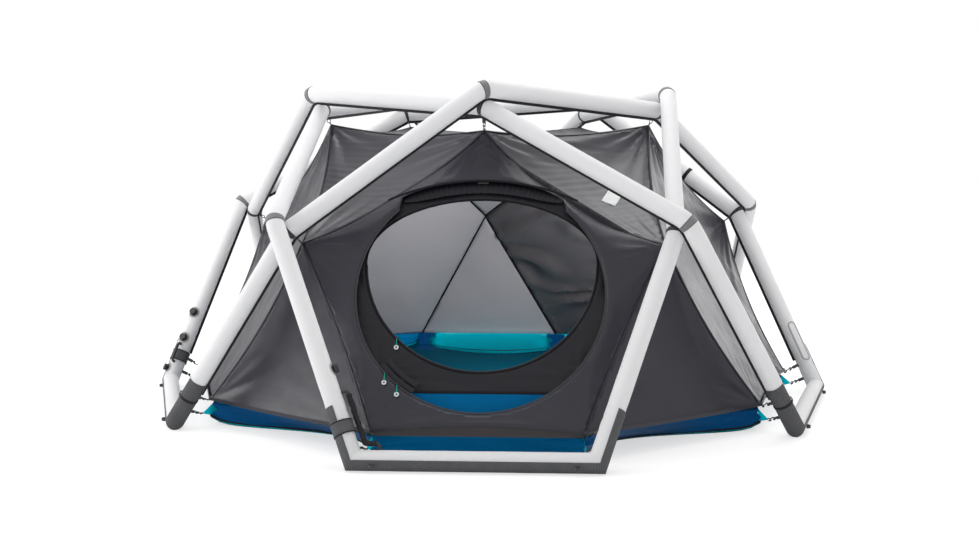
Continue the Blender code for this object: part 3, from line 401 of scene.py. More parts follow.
class Cloth(Enum):
    """The finishes of the tent, each built once."""

    SLEEVE = WovenCloth("sleeve_white", (0.92, 0.92, 0.925), (0.85, 0.85, 0.86), roughness=0.62,
                        crease_size=7.0, crease_depth=0.0012, sheen=0.15, specular=0.3,
                        through=(0.92, 0.92, 0.93), through_share=0.30)
    PIPING = WovenCloth("piping_black", (0.008, 0.008, 0.011), (0.014, 0.014, 0.018), roughness=0.6,
                        sheen=0.0, specular=0.25, crease_size=60.0, crease_depth=0.0004)
    BOOT = DottedCloth("boot_grey", (0.055, 0.056, 0.062), (0.25, 0.25, 0.26))
    GREY_WEBBING = Webbing("webbing_grey", (0.22, 0.22, 0.225), (0.02, 0.02, 0.022), width=0.022)
    DARK_WEBBING = Webbing("webbing_black", (0.045, 0.045, 0.048), (0.02, 0.02, 0.02), width=0.014)
    # The fly's own anthracite cloth, made lighter for the roof: painted light from above.
    ROOF = RipstopCloth("fly_roof_painted_light", (0.016, 0.016, 0.024), (0.026, 0.026, 0.038),
                        roughness=0.38, specular=0.9, through=(0.12, 0.12, 0.14), through_share=0.06)
    FLY = RipstopCloth("fly_anthracite", (0.012, 0.012, 0.020), (0.022, 0.022, 0.034), roughness=0.38,
                       specular=0.45, through=(0.12, 0.12, 0.14), through_share=0.06)
    CANOPY = WovenCloth("canopy_grey", (0.56, 0.54, 0.56), (0.48, 0.46, 0.48), roughness=0.8,
                        threads_per_metre=900.0, crease_size=4.0, crease_depth=0.004,
                        through=(0.72, 0.70, 0.73), through_share=0.3)
    SHADED_CANOPY = WovenCloth("canopy_shade", (0.125, 0.115, 0.120), (0.085, 0.078, 0.082),
                               roughness=0.6, threads_per_metre=900.0, crease_size=4.0,
                               crease_depth=0.004, specular=0.3)
    PANEL = WovenCloth("panel_black", (0.004, 0.004, 0.008), (0.008, 0.008, 0.013),
                       roughness=0.48, sheen=0.0, crease_size=9.0, crease_depth=0.010, specular=0.32)
    BLACK_TAPE = WovenCloth("binding_black", (0.004, 0.004, 0.006), (0.008, 0.008, 0.010),
                            roughness=0.7, sheen=0.0, specular=0.2, crease_size=60.0,
                            crease_depth=0.0004)
    PAD = WovenCloth("pad_grey", (0.42, 0.42, 0.43), (0.34, 0.34, 0.35), roughness=0.6, sheen=0.0,
                     crease_size=60.0, crease_depth=0.0006)
    TUB = WovenCloth("tub_blue", (0.0, 0.13, 0.36), (0.0, 0.04, 0.14), roughness=0.5,
                     crease_size=5.0, crease_depth=0.014, sheen=0.0, specular=0.08,
                     through=(0.0, 0.50, 0.72), through_share=0.25)
    LIT_TUB = WovenCloth("tub_lit_blue", (0.0, 0.22, 0.48), (0.0, 0.13, 0.32), roughness=0.5, sheen=0.0,
                         crease_size=5.0, crease_depth=0.014, specular=0.08,
                         through=(0.0, 0.55, 0.80), through_share=0.5)
    # Teal, brighter than the tub's blue. It is the own colour of the corner tips and the floor's edge,
    # and painted backlight where it covers the tub's back wall.
    TEAL = WovenCloth("tub_teal_and_painted_backlight", (0.0, 0.40, 0.45), (0.0, 0.30, 0.36), roughness=0.5, sheen=0.0,
                      crease_size=14.0, crease_depth=0.004, specular=0.08,
                      through=(0.0, 0.90, 1.0), through_share=0.6)
    CORNER_BLUE = WovenCloth("corner_blue", (0.0, 0.10, 0.30), (0.0, 0.06, 0.20), roughness=0.6,
                             crease_size=20.0, crease_depth=0.002, sheen=0.0, specular=0.1)
    FLOOR = WovenCloth("floor_teal", (0.0, 0.12, 0.19), (0.0, 0.07, 0.12), roughness=0.6, sheen=0.0,
                       specular=0.03, crease_size=4.0, crease_depth=0.006,
                       through=(0.0, 0.3, 0.36), through_share=0.1)
    MUD_FLAP = WovenCloth("mud_flap_brown", (0.050, 0.043, 0.044), (0.030, 0.026, 0.028), roughness=0.6,
                          crease_size=14.0, crease_depth=0.003)
    LABEL = WovenCloth("label_white", (0.80, 0.81, 0.81), (0.74, 0.75, 0.75), roughness=0.6,
                       threads_per_metre=2200.0, crease_size=30.0, crease_depth=0.0003)
    TEAL_CORD = WovenCloth("cord_teal", (0.0, 0.42, 0.34), (0.0, 0.32, 0.27), roughness=0.7, sheen=0.0,
                           crease_size=300.0, crease_depth=0.0003)
    PLASTIC = Moulded("plastic_black", (0.014, 0.014, 0.015), roughness=0.38)
    BEAD = Moulded("bead_white", (0.72, 0.76, 0.76), roughness=0.42)
    RUBBER = Moulded("hose_black", (0.016, 0.016, 0.017), roughness=0.55, grain=500.0)
    COIL = ZipCoil("zip_coil")

    @property
    def material(self) -> bpy.types.Material:
        """Return this finish's material, built on first use."""
        return bpy.data.materials.get(self.value.name) or self.value.build()


# Shapes shared by the sub-assemblies


@dataclass(frozen=True)
class DomeSizes:
    """The sizes that place every crossing, foot and hanging point of the tent."""

    edge: float = 0.92
    ground_radius: float = 1.47798
    foot_half_angle: float = math.radians(16.6)
    tube_radius: float = 0.035
    bend_radius: float = 0.09
    crossing_offset: float = 0.0403
    axis_height: float = 0.03732
    hang_depth: float = 0.115
    peak_hang_depth: float = 0.148
    near_hang_depth: float = 0.096
    door_hang_depth: float = 0.164
    fly_foot_radius: float = 1.33798
    fly_foot_height: float = 0.10
    tip_radius: float = 1.368
    tip_height: float = 0.048
    edge_sag: float = 0.033
    right_hip_sag: float = 0.075
    left_hip_sag: float = 0.048

    @property
    def centre(self) -> Vector:
        """Return the middle of the dome, level with the ground tubes' axes."""
        return Vector((0, 0, self.axis_height))

    @property
    def ring_radius(self) -> float:
        """Return the radius of the ring of five crossings at the peaks."""
        return self.edge / (2 * math.sin(math.radians(36)))

    def polar(self, radius: float, angle: float, height: float) -> Vector:
        """Return a point above the plane of the ground tubes' axes."""
        return self.centre + Vector((radius * math.cos(angle), radius * math.sin(angle), height))

    def bay_angle(self, bay: int) -> float:
        """Return the direction that a bay faces."""
        return math.radians(-90 + 72 * bay)

    def top(self, bay: int) -> Vector:
        """Return the crossing at a bay's peak."""
        radius = self.ring_radius
        return self.polar(radius, self.bay_angle(bay), GOLDEN * radius)

    def mid(self, bay: int) -> Vector:
        """Return the crossing between a bay and the next."""
        radius = self.ring_radius
        return self.polar(GOLDEN * radius, self.bay_angle(bay) + math.radians(36), radius)

    def foot(self, bay: int, side: int) -> Vector:
        """Return a bay's foot, side -1 on its left and 1 on its right seen from outside."""
        return self.polar(self.ground_radius, self.bay_angle(bay) + side * self.foot_half_angle, 0)

    def outward(self, point: Vector) -> Vector:
        """Return the direction from the middle of the dome."""
        return (point - self.centre).normalized()

    def woven(self, point: Vector, over: int) -> Vector:
        """Lift or lower a crossing so that one tube passes the other."""
        return point + self.outward(point) * self.crossing_offset * over

    def arch_corners(self, bay: int) -> Points:
        """Return the six corners of the arch over a bay's peak."""
        return [self.foot(bay - 1, 1), self.woven(self.mid(bay - 1), -1),
                self.woven(self.top(bay), 1), self.woven(self.top(bay + 1), -1),
                self.woven(self.mid(bay + 1), 1), self.foot(bay + 2, -1)]

    def leg(self, bay: int, side: int) -> Vector:
        """Return the direction of a leg up from its foot."""
        foot = self.foot(bay, side)
        corner = self.arch_corners(bay + 1)[1] if side > 0 else self.arch_corners(bay - 2)[4]
        return (corner - foot).normalized()

    def run(self, bay: int, side: int) -> Vector:
        """Return the direction of the ground tube away from a foot."""
        return (self.foot(bay, -side) - self.foot(bay, side)).normalized()

    def fly_top(self, bay: int) -> Vector:
        """Return the fly's corner under a peak."""
        depth = self.peak_hang_depth if bay % 5 == 0 else self.hang_depth
        return self.top(bay) - self.outward(self.top(bay)) * depth

    def door_peak(self) -> Vector:
        """Return the upper end of the front wall's plane."""
        return self.top(0) - self.outward(self.top(0)) * self.door_hang_depth

    def seam_sag(self, a: Vector, b: Vector, share: float = 1.0) -> float:
        """Return how far the seam between two corners is drawn in; the front hips hang deepest."""
        middle = (a + b) / 2
        if middle.y < -0.7 and middle.z > 0.8 and abs(middle.x) < 0.6:
            return (self.right_hip_sag if middle.x > 0 else self.left_hip_sag) * share
        return self.edge_sag * share

    def fly_mid(self, bay: int) -> Vector:
        """Return the fly's corner after a bay; beside the door it lies in the front wall's plane."""
        depth = self.near_hang_depth if bay % 5 == 0 else self.hang_depth
        point = self.mid(bay) - self.outward(self.mid(bay)) * depth
        if bay % 5 not in (0, 4):
            return point
        left = self.fly_foot(0, -1)
        normal = (self.fly_foot(0, 1) - left).cross(self.door_peak() - left).normalized()
        return point - normal * normal.dot(point - left)

    def fly_foot(self, bay: int, side: int) -> Vector:
        """Return a lower corner of the fly."""
        return self.polar(self.fly_foot_radius, self.bay_angle(bay) + side * self.foot_half_angle,
                          self.fly_foot_height - self.axis_height)


DOME = DomeSizes()


def make_mesh(name: str, points: Sequence, faces: Sequence, cloth: Cloth,
              uvs: Sequence | None = None, angle: float = 40.0) -> bpy.types.Object:
    """Make a smooth-shaded mesh object with outward faces.

    Args:
        name: the piece's name.
        points: its points in metres.
        faces: its faces as point numbers.
        cloth: its finish.
        uvs: a (u, v) pair for each point, in metres along the cloth.
        angle: edges sharper than this stay sharp, in degrees.

    Returns:
        The new object.
    """
    mesh = bpy.data.meshes.new(name)
    mesh.from_pydata([tuple(p) for p in points], [], [tuple(f) for f in faces])
    if uvs is not None:
        layer = mesh.uv_layers.new(name="Cloth")
        flat = np.asarray(uvs, dtype=np.float32)
        corners = np.empty(len(mesh.loops), dtype=np.int32)
        mesh.loops.foreach_get("vertex_index", corners)
        layer.data.foreach_set("uv", flat[corners].ravel())
    build = bmesh.new()
    build.from_mesh(mesh)
    bmesh.ops.recalc_face_normals(build, faces=build.faces)
    build.to_mesh(mesh)
    build.free()
    mesh.materials.append(cloth.material)
    piece = bpy.data.objects.new(name, mesh)
    bpy.context.scene.collection.objects.link(piece)
    mesh.shade_smooth()
    mesh.set_sharp_from_angle(angle=math.radians(angle))
    return piece


def settle(piece: bpy.types.Object, *nodes: str, body: str = BODY,
           slot: str | None = None) -> bpy.types.Object:
    """Attach a piece to its body, hide the CAD nodes that it stands for and log its face count.

    Args:
        piece: the finished piece.
        nodes: the CAD nodes that it replaces.
        body: the body that it rides on.
        slot: the record's material slot; not used.

    Returns:
        The same piece.
    """
    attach(piece, body)
    if nodes:
        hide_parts(*nodes)
    LOG.info("%s: %d faces", piece.name, len(piece.data.polygons) if piece.type == "MESH" else 0)
    return piece


def select_only(*pieces: bpy.types.Object) -> None:
    """Select these objects alone and make the first one active."""
    bpy.ops.object.select_all(action="DESELECT")
    for piece in pieces:
        piece.select_set(True)
    bpy.context.view_layer.objects.active = pieces[0]


def join(pieces: Sequence[bpy.types.Object], name: str) -> bpy.types.Object:
    """Join pieces into one object with this name."""
    select_only(*pieces)
    if len(pieces) > 1:
        bpy.ops.object.join()
    whole = bpy.context.view_layer.objects.active
    whole.name = name
    whole.data.name = name
    return whole


def thicken(piece: bpy.types.Object, thickness: float, offset: float = -1.0) -> None:
    """Give a sheet its thickness with an applied Solidify modifier."""
    select_only(piece)
    step = piece.modifiers.new("Cloth", "SOLIDIFY")
    step.thickness = thickness
    step.offset = offset
    bpy.ops.object.modifier_apply(modifier=step.name)


def primitive(kind: str, name: str, **sizes: object) -> bpy.types.Object:
    """Add one of Blender's mesh primitives by itself, under this name."""
    bpy.ops.object.select_all(action="DESELECT")
    getattr(bpy.ops.mesh, f"primitive_{kind}_add")(**sizes)
    piece = bpy.context.active_object
    piece.name = piece.data.name = name
    return piece


def space(across: Vector, up: Vector, out: Vector, place: Vector) -> Matrix:
    """Return the space with these directions as X, Y and Z, and this origin."""
    made = Matrix((across, up, out)).transposed().to_4x4()
    made.translation = place
    return made


def ring_faces(rings: int, count: int, wrap: bool = True,
               closed: bool = False) -> list[tuple[int, ...]]:
    """Return the four-sided faces between rings of points.

    Args:
        rings: the number of rings.
        count: the points in each ring.
        wrap: join a ring's last point to its first.
        closed: join the last ring to the first.

    Returns:
        The faces as point numbers.
    """
    faces = []
    for i in range(rings if closed else rings - 1):
        here, there = i * count, (i + 1) % rings * count
        for j in range(count if wrap else count - 1):
            k = (j + 1) % count
            faces.append((here + j, here + k, there + k, there + j))
    return faces


def sew(parts: Sequence[bpy.types.Object], name: str, nodes: Sequence[str], slot: str,
        thickness: float) -> None:
    """Args:
        parts: the panels.
        name: the sheet's name.
        nodes: the CAD nodes that it replaces.
        slot: the record's material slot.
        thickness: the cloth's thickness.
    """
    sheet = join(parts, name)
    thicken(sheet, thickness)
    settle(sheet, *nodes, slot=slot)


def filleted(corners: Points, radius: float, steps: int) -> tuple[Points, list[int]]:
    """Round the inner corners of a path.

    Args:
        corners: the path's corners.
        radius: the bend radius.
        steps: the straight pieces in each bend.

    Returns:
        The points of the path and the number of each bend's middle point.
    """
    path = [corners[0]]
    middles = []
    for before, corner, after in zip(corners, corners[1:], corners[2:]):
        back = (before - corner).normalized()
        ahead = (after - corner).normalized()
        bend = math.pi - back.angle(ahead)
        middle = corner + (back + ahead).normalized() * (radius / math.cos(bend / 2))
        first = corner + back * radius * math.tan(bend / 2) - middle
        axis = first.cross(corner + ahead * radius * math.tan(bend / 2) - middle).normalized()
        for i in range(steps + 1):
            path.append(middle + Matrix.Rotation(bend * i / steps, 3, axis) @ first)
        middles.append(len(path) - 1 - steps // 2)
    path.append(corners[-1])
    return path, middles


@dataclass
class Track:
    """A path with its lengths, its directions and a side that is carried along it."""

    points: Points
    reference: Vector
    closed: bool = False
    lengths: list[float] = field(default_factory=list)
    along: Points = field(default_factory=list)
    sides: Points = field(default_factory=list)

    def __post_init__(self) -> None:
        """Measure the path and carry the side along it."""
        points = self.points
        count = len(points)
        steps = [(points[(i + 1) % count] - points[i]).normalized()
                 for i in range(count if self.closed else count - 1)]
        self.lengths = [0.0]
        for a, b in zip(points, points[1:]):
            self.lengths.append(self.lengths[-1] + (b - a).length)
        side = (self.reference - steps[0] * self.reference.dot(steps[0])).normalized()
        for i in range(count):
            before = steps[i - 1] if i or self.closed else steps[0]
            after = steps[min(i, len(steps) - 1)]
            tangent = (before + after).normalized()
            side = (side - tangent * side.dot(tangent)).normalized()
            self.along.append(tangent)
            self.sides.append(side.copy())

    def refined(self, spacing: float) -> "Track":
        """Return the same path with its long straights divided."""
        fine = [self.points[0]]
        for a, b in zip(self.points, self.points[1:]):
            count = max(1, math.ceil((b - a).length / spacing))
            fine.extend(a.lerp(b, (i + 1) / count) for i in range(count))
        return Track(fine, self.reference)

    def part(self, start: float, end: float) -> "Track":
        """Return the stretch of the path between two lengths."""
        cut = [self.at(start)]
        cut.extend(p for p, s in zip(self.points, self.lengths) if start + 1e-5 < s < end - 1e-5)
        cut.append(self.at(end))
        nearest = min(range(len(self.lengths)), key=lambda i: abs(self.lengths[i] - start))
        return Track(cut, self.sides[nearest])

    def at(self, length: float) -> Vector:
        """Return the point at a length along the path."""
        for i in range(len(self.lengths) - 1):
            if self.lengths[i + 1] >= length:
                share = (length - self.lengths[i]) / max(self.lengths[i + 1] - self.lengths[i], 1e-9)
                return self.points[i].lerp(self.points[i + 1], share)
        return self.points[-1]


def faced(points: Points, sides: Points, closed: bool = False) -> Track:
    """Return a track with the side given at each of its points."""
    track = Track(points, sides[0], closed)
    track.sides = sides
    return track


Radius = Callable[[float, float], float]


def waver(x: float, y: float, z: float) -> float:
    """Return smooth noise at a place."""
    return noise.noise(Vector((x, y, z)))


def round_noise(angle: float, size: float, along: float) -> float:
    """Return smooth noise round a tube, with no step where the angle wraps."""
    return waver(math.cos(angle) * size, math.sin(angle) * size, along)


def spoke(side: Vector, across: Vector, angle: float, reach: float) -> Vector:
    """Return the arm from a tube's axis at an angle from its side."""
    return side * (math.cos(angle) * reach) + across * (math.sin(angle) * reach)


def tube_points(track: Track, radius: Radius, sides: int, start_cut: Vector | None = None,
                end_cut: Vector | None = None,
                ease: float = 0.06) -> tuple[Points, list[tuple[float, float]]]:
    """Return the rings of a tube and their places along the cloth.

    Args:
        track: the tube's axis.
        radius: gives the radius at a length and an angle from the track's side.
        sides: the points in a ring.
        start_cut: the normal of the mitre at the start.
        end_cut: the normal of the mitre at the end.
        ease: the length over which rings turn from the mitre to square.

    Returns:
        The points, ring by ring, and a (u, v) pair for each.
    """
    points, uvs = [], []
    total = track.lengths[-1]
    for point, length, along, side in zip(track.points, track.lengths, track.along, track.sides):
        across = along.cross(side)
        for j in range(sides + 1):
            angle = math.tau * j / sides
            reach = radius(length, angle)
            arm = spoke(side, across, angle, reach)
            shift = 0.0
            for cut, away in ((start_cut, length), (end_cut, total - length)):
                if cut is not None and away < ease:
                    shift -= (1 - away / ease) * arm.dot(cut) / along.dot(cut)
            points.append(point + arm + along * shift)
            uvs.append((angle * 0.035, length + shift))
    return points, uvs


def tube(name: str, track: Track, radius: Radius, cloth: Cloth, sides: int = 32,
         start_cut: Vector | None = None, end_cut: Vector | None = None) -> bpy.types.Object:
    """Make a closed tube whose seam of texture runs along the track's side.

    Args:
        name: the piece's name.
        track: its axis.
        radius: its radius at a length and an angle.
        cloth: its finish.
        sides: the points in a ring.
        start_cut: the normal of the mitre at the start.
        end_cut: the normal of the mitre at the end.

    Returns:
        The new object.
    """
    points, uvs = tube_points(track, radius, sides, start_cut, end_cut)
    row = sides + 1
    rings = len(track.points)
    faces = ring_faces(rings, row, wrap=False)
    for i in (0, rings - 1):
        middle = len(points)
        points.append(track.points[i])
        uvs.append((0.0, track.lengths[i]))
        for j in range(sides):
            faces.append((i * row + j, i * row + j + 1, middle))
    piece = make_mesh(name, points, faces, cloth, uvs, 50.0)
    weld(piece)
    return piece


def weld(piece: bpy.types.Object, gap: float = 0.00002) -> None:
    """Merge the doubled points of a mesh and turn its faces outward."""
    build = bmesh.new()
    build.from_mesh(piece.data)
    bmesh.ops.remove_doubles(build, verts=build.verts, dist=gap)
    bmesh.ops.recalc_face_normals(build, faces=build.faces)
    build.to_mesh(piece.data)
    build.free()


def ribbon(name: str, track: Track, width: float, thickness: float, cloth: Cloth,
           lift: float = 0.0) -> bpy.types.Object:
    """Make a flat tape that lies on its track, with its face along the track's side.

    Args:
        name: the piece's name.
        track: the line under the tape's middle, its side pointing out of the face.
        width: the tape's width.
        thickness: its thickness.
        cloth: its finish.
        lift: how far it is raised from the line.

    Returns:
        The new object.
    """
    shape = ((-0.5, 0.0), (-0.46, 0.75), (-0.38, 1.0), (0.38, 1.0), (0.46, 0.75), (0.5, 0.0))
    points, uvs = [], []
    for point, length, along, side in zip(track.points, track.lengths, track.along, track.sides):
        across = along.cross(side)
        for u, v in shape:
            points.append(point + across * (u * width) + side * (lift + v * thickness))
            uvs.append((length, u * width))
    size = len(shape)
    stops = len(track.points)
    faces = ring_faces(stops, size, closed=track.closed)
    if not track.closed:
        faces.append(tuple(range(size)))
        faces.append(tuple((stops - 1) * size + j for j in range(size)))
    return make_mesh(name, points, faces, cloth, uvs, 60.0)


def tape(name: str, track: Track, width: float, thickness: float, cloth: Cloth, slot: str) -> None:
    """Make a ribbon and attach it to the tent, with no node of its own."""
    settle(ribbon(name, track, width, thickness, cloth), slot=slot)


def band(name: str, track: Track, inner: float, thickness: float, cloth: Cloth, sides: int = 48,
         arc: tuple[float, float] = (0.0, math.tau), hem: float = 0.0) -> bpy.types.Object:
    """Make a strap of cloth round a tube, over the stretch of its track.

    Args:
        name: the piece's name.
        track: the tube's axis over the strap's width.
        inner: the strap's inner radius.
        thickness: its thickness.
        cloth: its finish.
        sides: the points round the tube.
        arc: the angles from the track's side that it covers.
        hem: how much thicker its edges are.

    Returns:
        The new object.
    """
    whole = arc[1] - arc[0] > math.tau - 1e-4
    stops = len(track.points)
    count = sides if whole else sides + 1
    points, uvs = [], []
    stations = list(zip(track.points, track.lengths, track.along, track.sides))
    for layer in (0, 1):
        for i, (point, length, along, side) in enumerate(stations):
            across = along.cross(side)
            for j in range(count):
                angle = arc[0] + (arc[1] - arc[0]) * j / sides
                edge = i in (0, stops - 1) or (not whole and j in (0, sides))
                reach = inner + layer * thickness * (0.35 if edge else 1.0)
                rim = i in (1, stops - 2) or (not whole and j in (1, sides - 1))
                reach += layer * hem if rim and not edge else 0.0
                points.append(point + side * (math.cos(angle) * reach)
                              + across * (math.sin(angle) * reach))
                uvs.append((angle * inner, length - track.lengths[-1] / 2))
    base = stops * count
    around = count if whole else count - 1
    skin = ring_faces(stops, count, whole)
    faces = skin + [tuple(base + n for n in face) for face in skin]
    rims = [(i * count + j, i * count + (j + 1) % count) for i in (0, stops - 1) for j in range(around)]
    if not whole:
        rims += [(i * count + j, (i + 1) * count + j) for j in (0, count - 1) for i in range(stops - 1)]
    faces += [(a, b, base + b, base + a) for a, b in rims]
    return make_mesh(name, points, faces, cloth, uvs, 60.0)


def straight(start: Vector, end: Vector, side: Vector, spacing: float = 0.01) -> Track:
    """Return a straight track divided at this spacing."""
    return Track([start, end], side).refined(spacing)


# The air tubes


@dataclass
class AirTubes:
    """The five arches and the five ground tubes: white sleeves with black piping."""

    spacing: float = 0.016
    bend_steps: int = 12
    sides: int = 40
    pucker: float = 0.0009
    unevenness: float = 0.0005
    seam_dip: float = 0.0006
    foot_folds: float = 0.0026
    piping_width: float = 0.0045
    piping_height: float = 0.0125
    piping_lean: float = math.radians(-20)
    piping_end: float = 0.145
    tracks: list[Track] = field(default_factory=list)
    bends: list[list[float]] = field(default_factory=list)

    def __post_init__(self) -> None:
        """Lay out the axis of each arch."""
        for bay in range(5):
            corners = DOME.arch_corners(bay)
            path, middles = filleted(corners, DOME.bend_radius, self.bend_steps)
            middle = (corners[2] + corners[3]) / 2
            plane = (corners[3] - corners[2]).cross(DOME.outward(middle)).normalized()
            inward = (path[1] - path[0]).cross(plane).normalized()
            if inward.dot(DOME.outward(path[1])) > 0:
                inward = -inward
            coarse = Track(path, inward)
            self.bends.append([coarse.lengths[i] for i in middles])
            self.tracks.append(coarse.refined(self.spacing))

    def radius(self, bay: int) -> Radius:
        """Return the radius of an arch's sleeve at a length and an angle.

        Args:
            bay: the arch's bay.

        Returns:
            A function of length and angle.
        """
        bends = self.bends[bay]
        total = self.tracks[bay].lengths[-1]

        def at(length: float, angle: float) -> float:
            """Return the sleeve's radius here."""
            near = min(abs(length - bend) for bend in bends)
            reach = DOME.tube_radius - 0.0004
            folds = math.exp(-((near - 0.045) / 0.035) ** 2)
            reach += folds * self.pucker * round_noise(angle, 1.3, length * 26 + bay * 9) * 1.6
            reach += self.unevenness * round_noise(angle, 0.9, length * 5 + bay * 5)
            off_seam = abs((angle - self.piping_lean + math.pi) % math.tau - math.pi)
            seam = math.exp(-(off_seam / 0.16) ** 2)
            reach -= self.seam_dip * seam
            ends = min(length, total - length)
            foot = math.exp(-((ends - 0.16) / 0.09) ** 2)
            reach += foot * self.foot_folds * round_noise(angle, 2.0, length * 34)
            return min(reach, DOME.tube_radius + 0.0002)

        return at

    def arch(self, bay: int) -> None:
        """Make one arch's sleeve and its piping."""
        track = self.tracks[bay]
        starts = (DOME.leg(bay - 1, 1) - DOME.run(bay - 1, 1)).normalized()
        ends = (DOME.leg(bay + 2, -1) - DOME.run(bay + 2, -1)).normalized()
        sleeve = tube(f"arch_{bay + 1}_sleeve", track, self.radius(bay), Cloth.SLEEVE, self.sides,
                      starts, ends)
        settle(sleeve, f"arch_{bay + 1}_tube", slot="tube_fabric")
        total = track.lengths[-1]
        line = track.part(self.piping_end, total - self.piping_end)
        lean = self.piping_lean
        sides = [side * math.cos(lean) + along.cross(side) * math.sin(lean)
                 for side, along in zip(line.sides, line.along)]
        places = [point + side * (DOME.tube_radius - 0.0016) for point, side in zip(line.points, sides)]
        tape(f"arch_{bay + 1}_piping", faced(places, sides), self.piping_width,
             self.piping_height, Cloth.PIPING, "strap_webbing")

    def ground(self, bay: int) -> None:
        """Make one ground tube."""
        left = DOME.foot(bay, -1)
        right = DOME.foot(bay, 1)
        track = straight(left, right, Vector((0, 0, 1)), self.spacing)
        cuts = [(DOME.leg(bay, side) - DOME.run(bay, side)).normalized() for side in (-1, 1)]

        def radius(length: float, angle: float) -> float:
            """Return the sleeve's radius here."""
            return DOME.tube_radius - 0.0006 + 0.0007 * round_noise(angle, 1.0, length * 9 + bay * 7)

        sleeve = tube(f"{BAYS[bay]}_ground_sleeve", track, radius, Cloth.SLEEVE, self.sides,
                      cuts[0], cuts[1])
        settle(sleeve, f"{BAYS[bay]}_ground_tube", slot="tube_fabric")

    def build(self) -> None:
        """Make every tube."""
        for bay in range(5):
            self.arch(bay)
            self.ground(bay)


def foot_name(bay: int, side: int) -> str:
    """Return the first part of the names of the pieces at a foot."""
    return f"{BAYS[bay]}_{'left' if side < 0 else 'right'}"


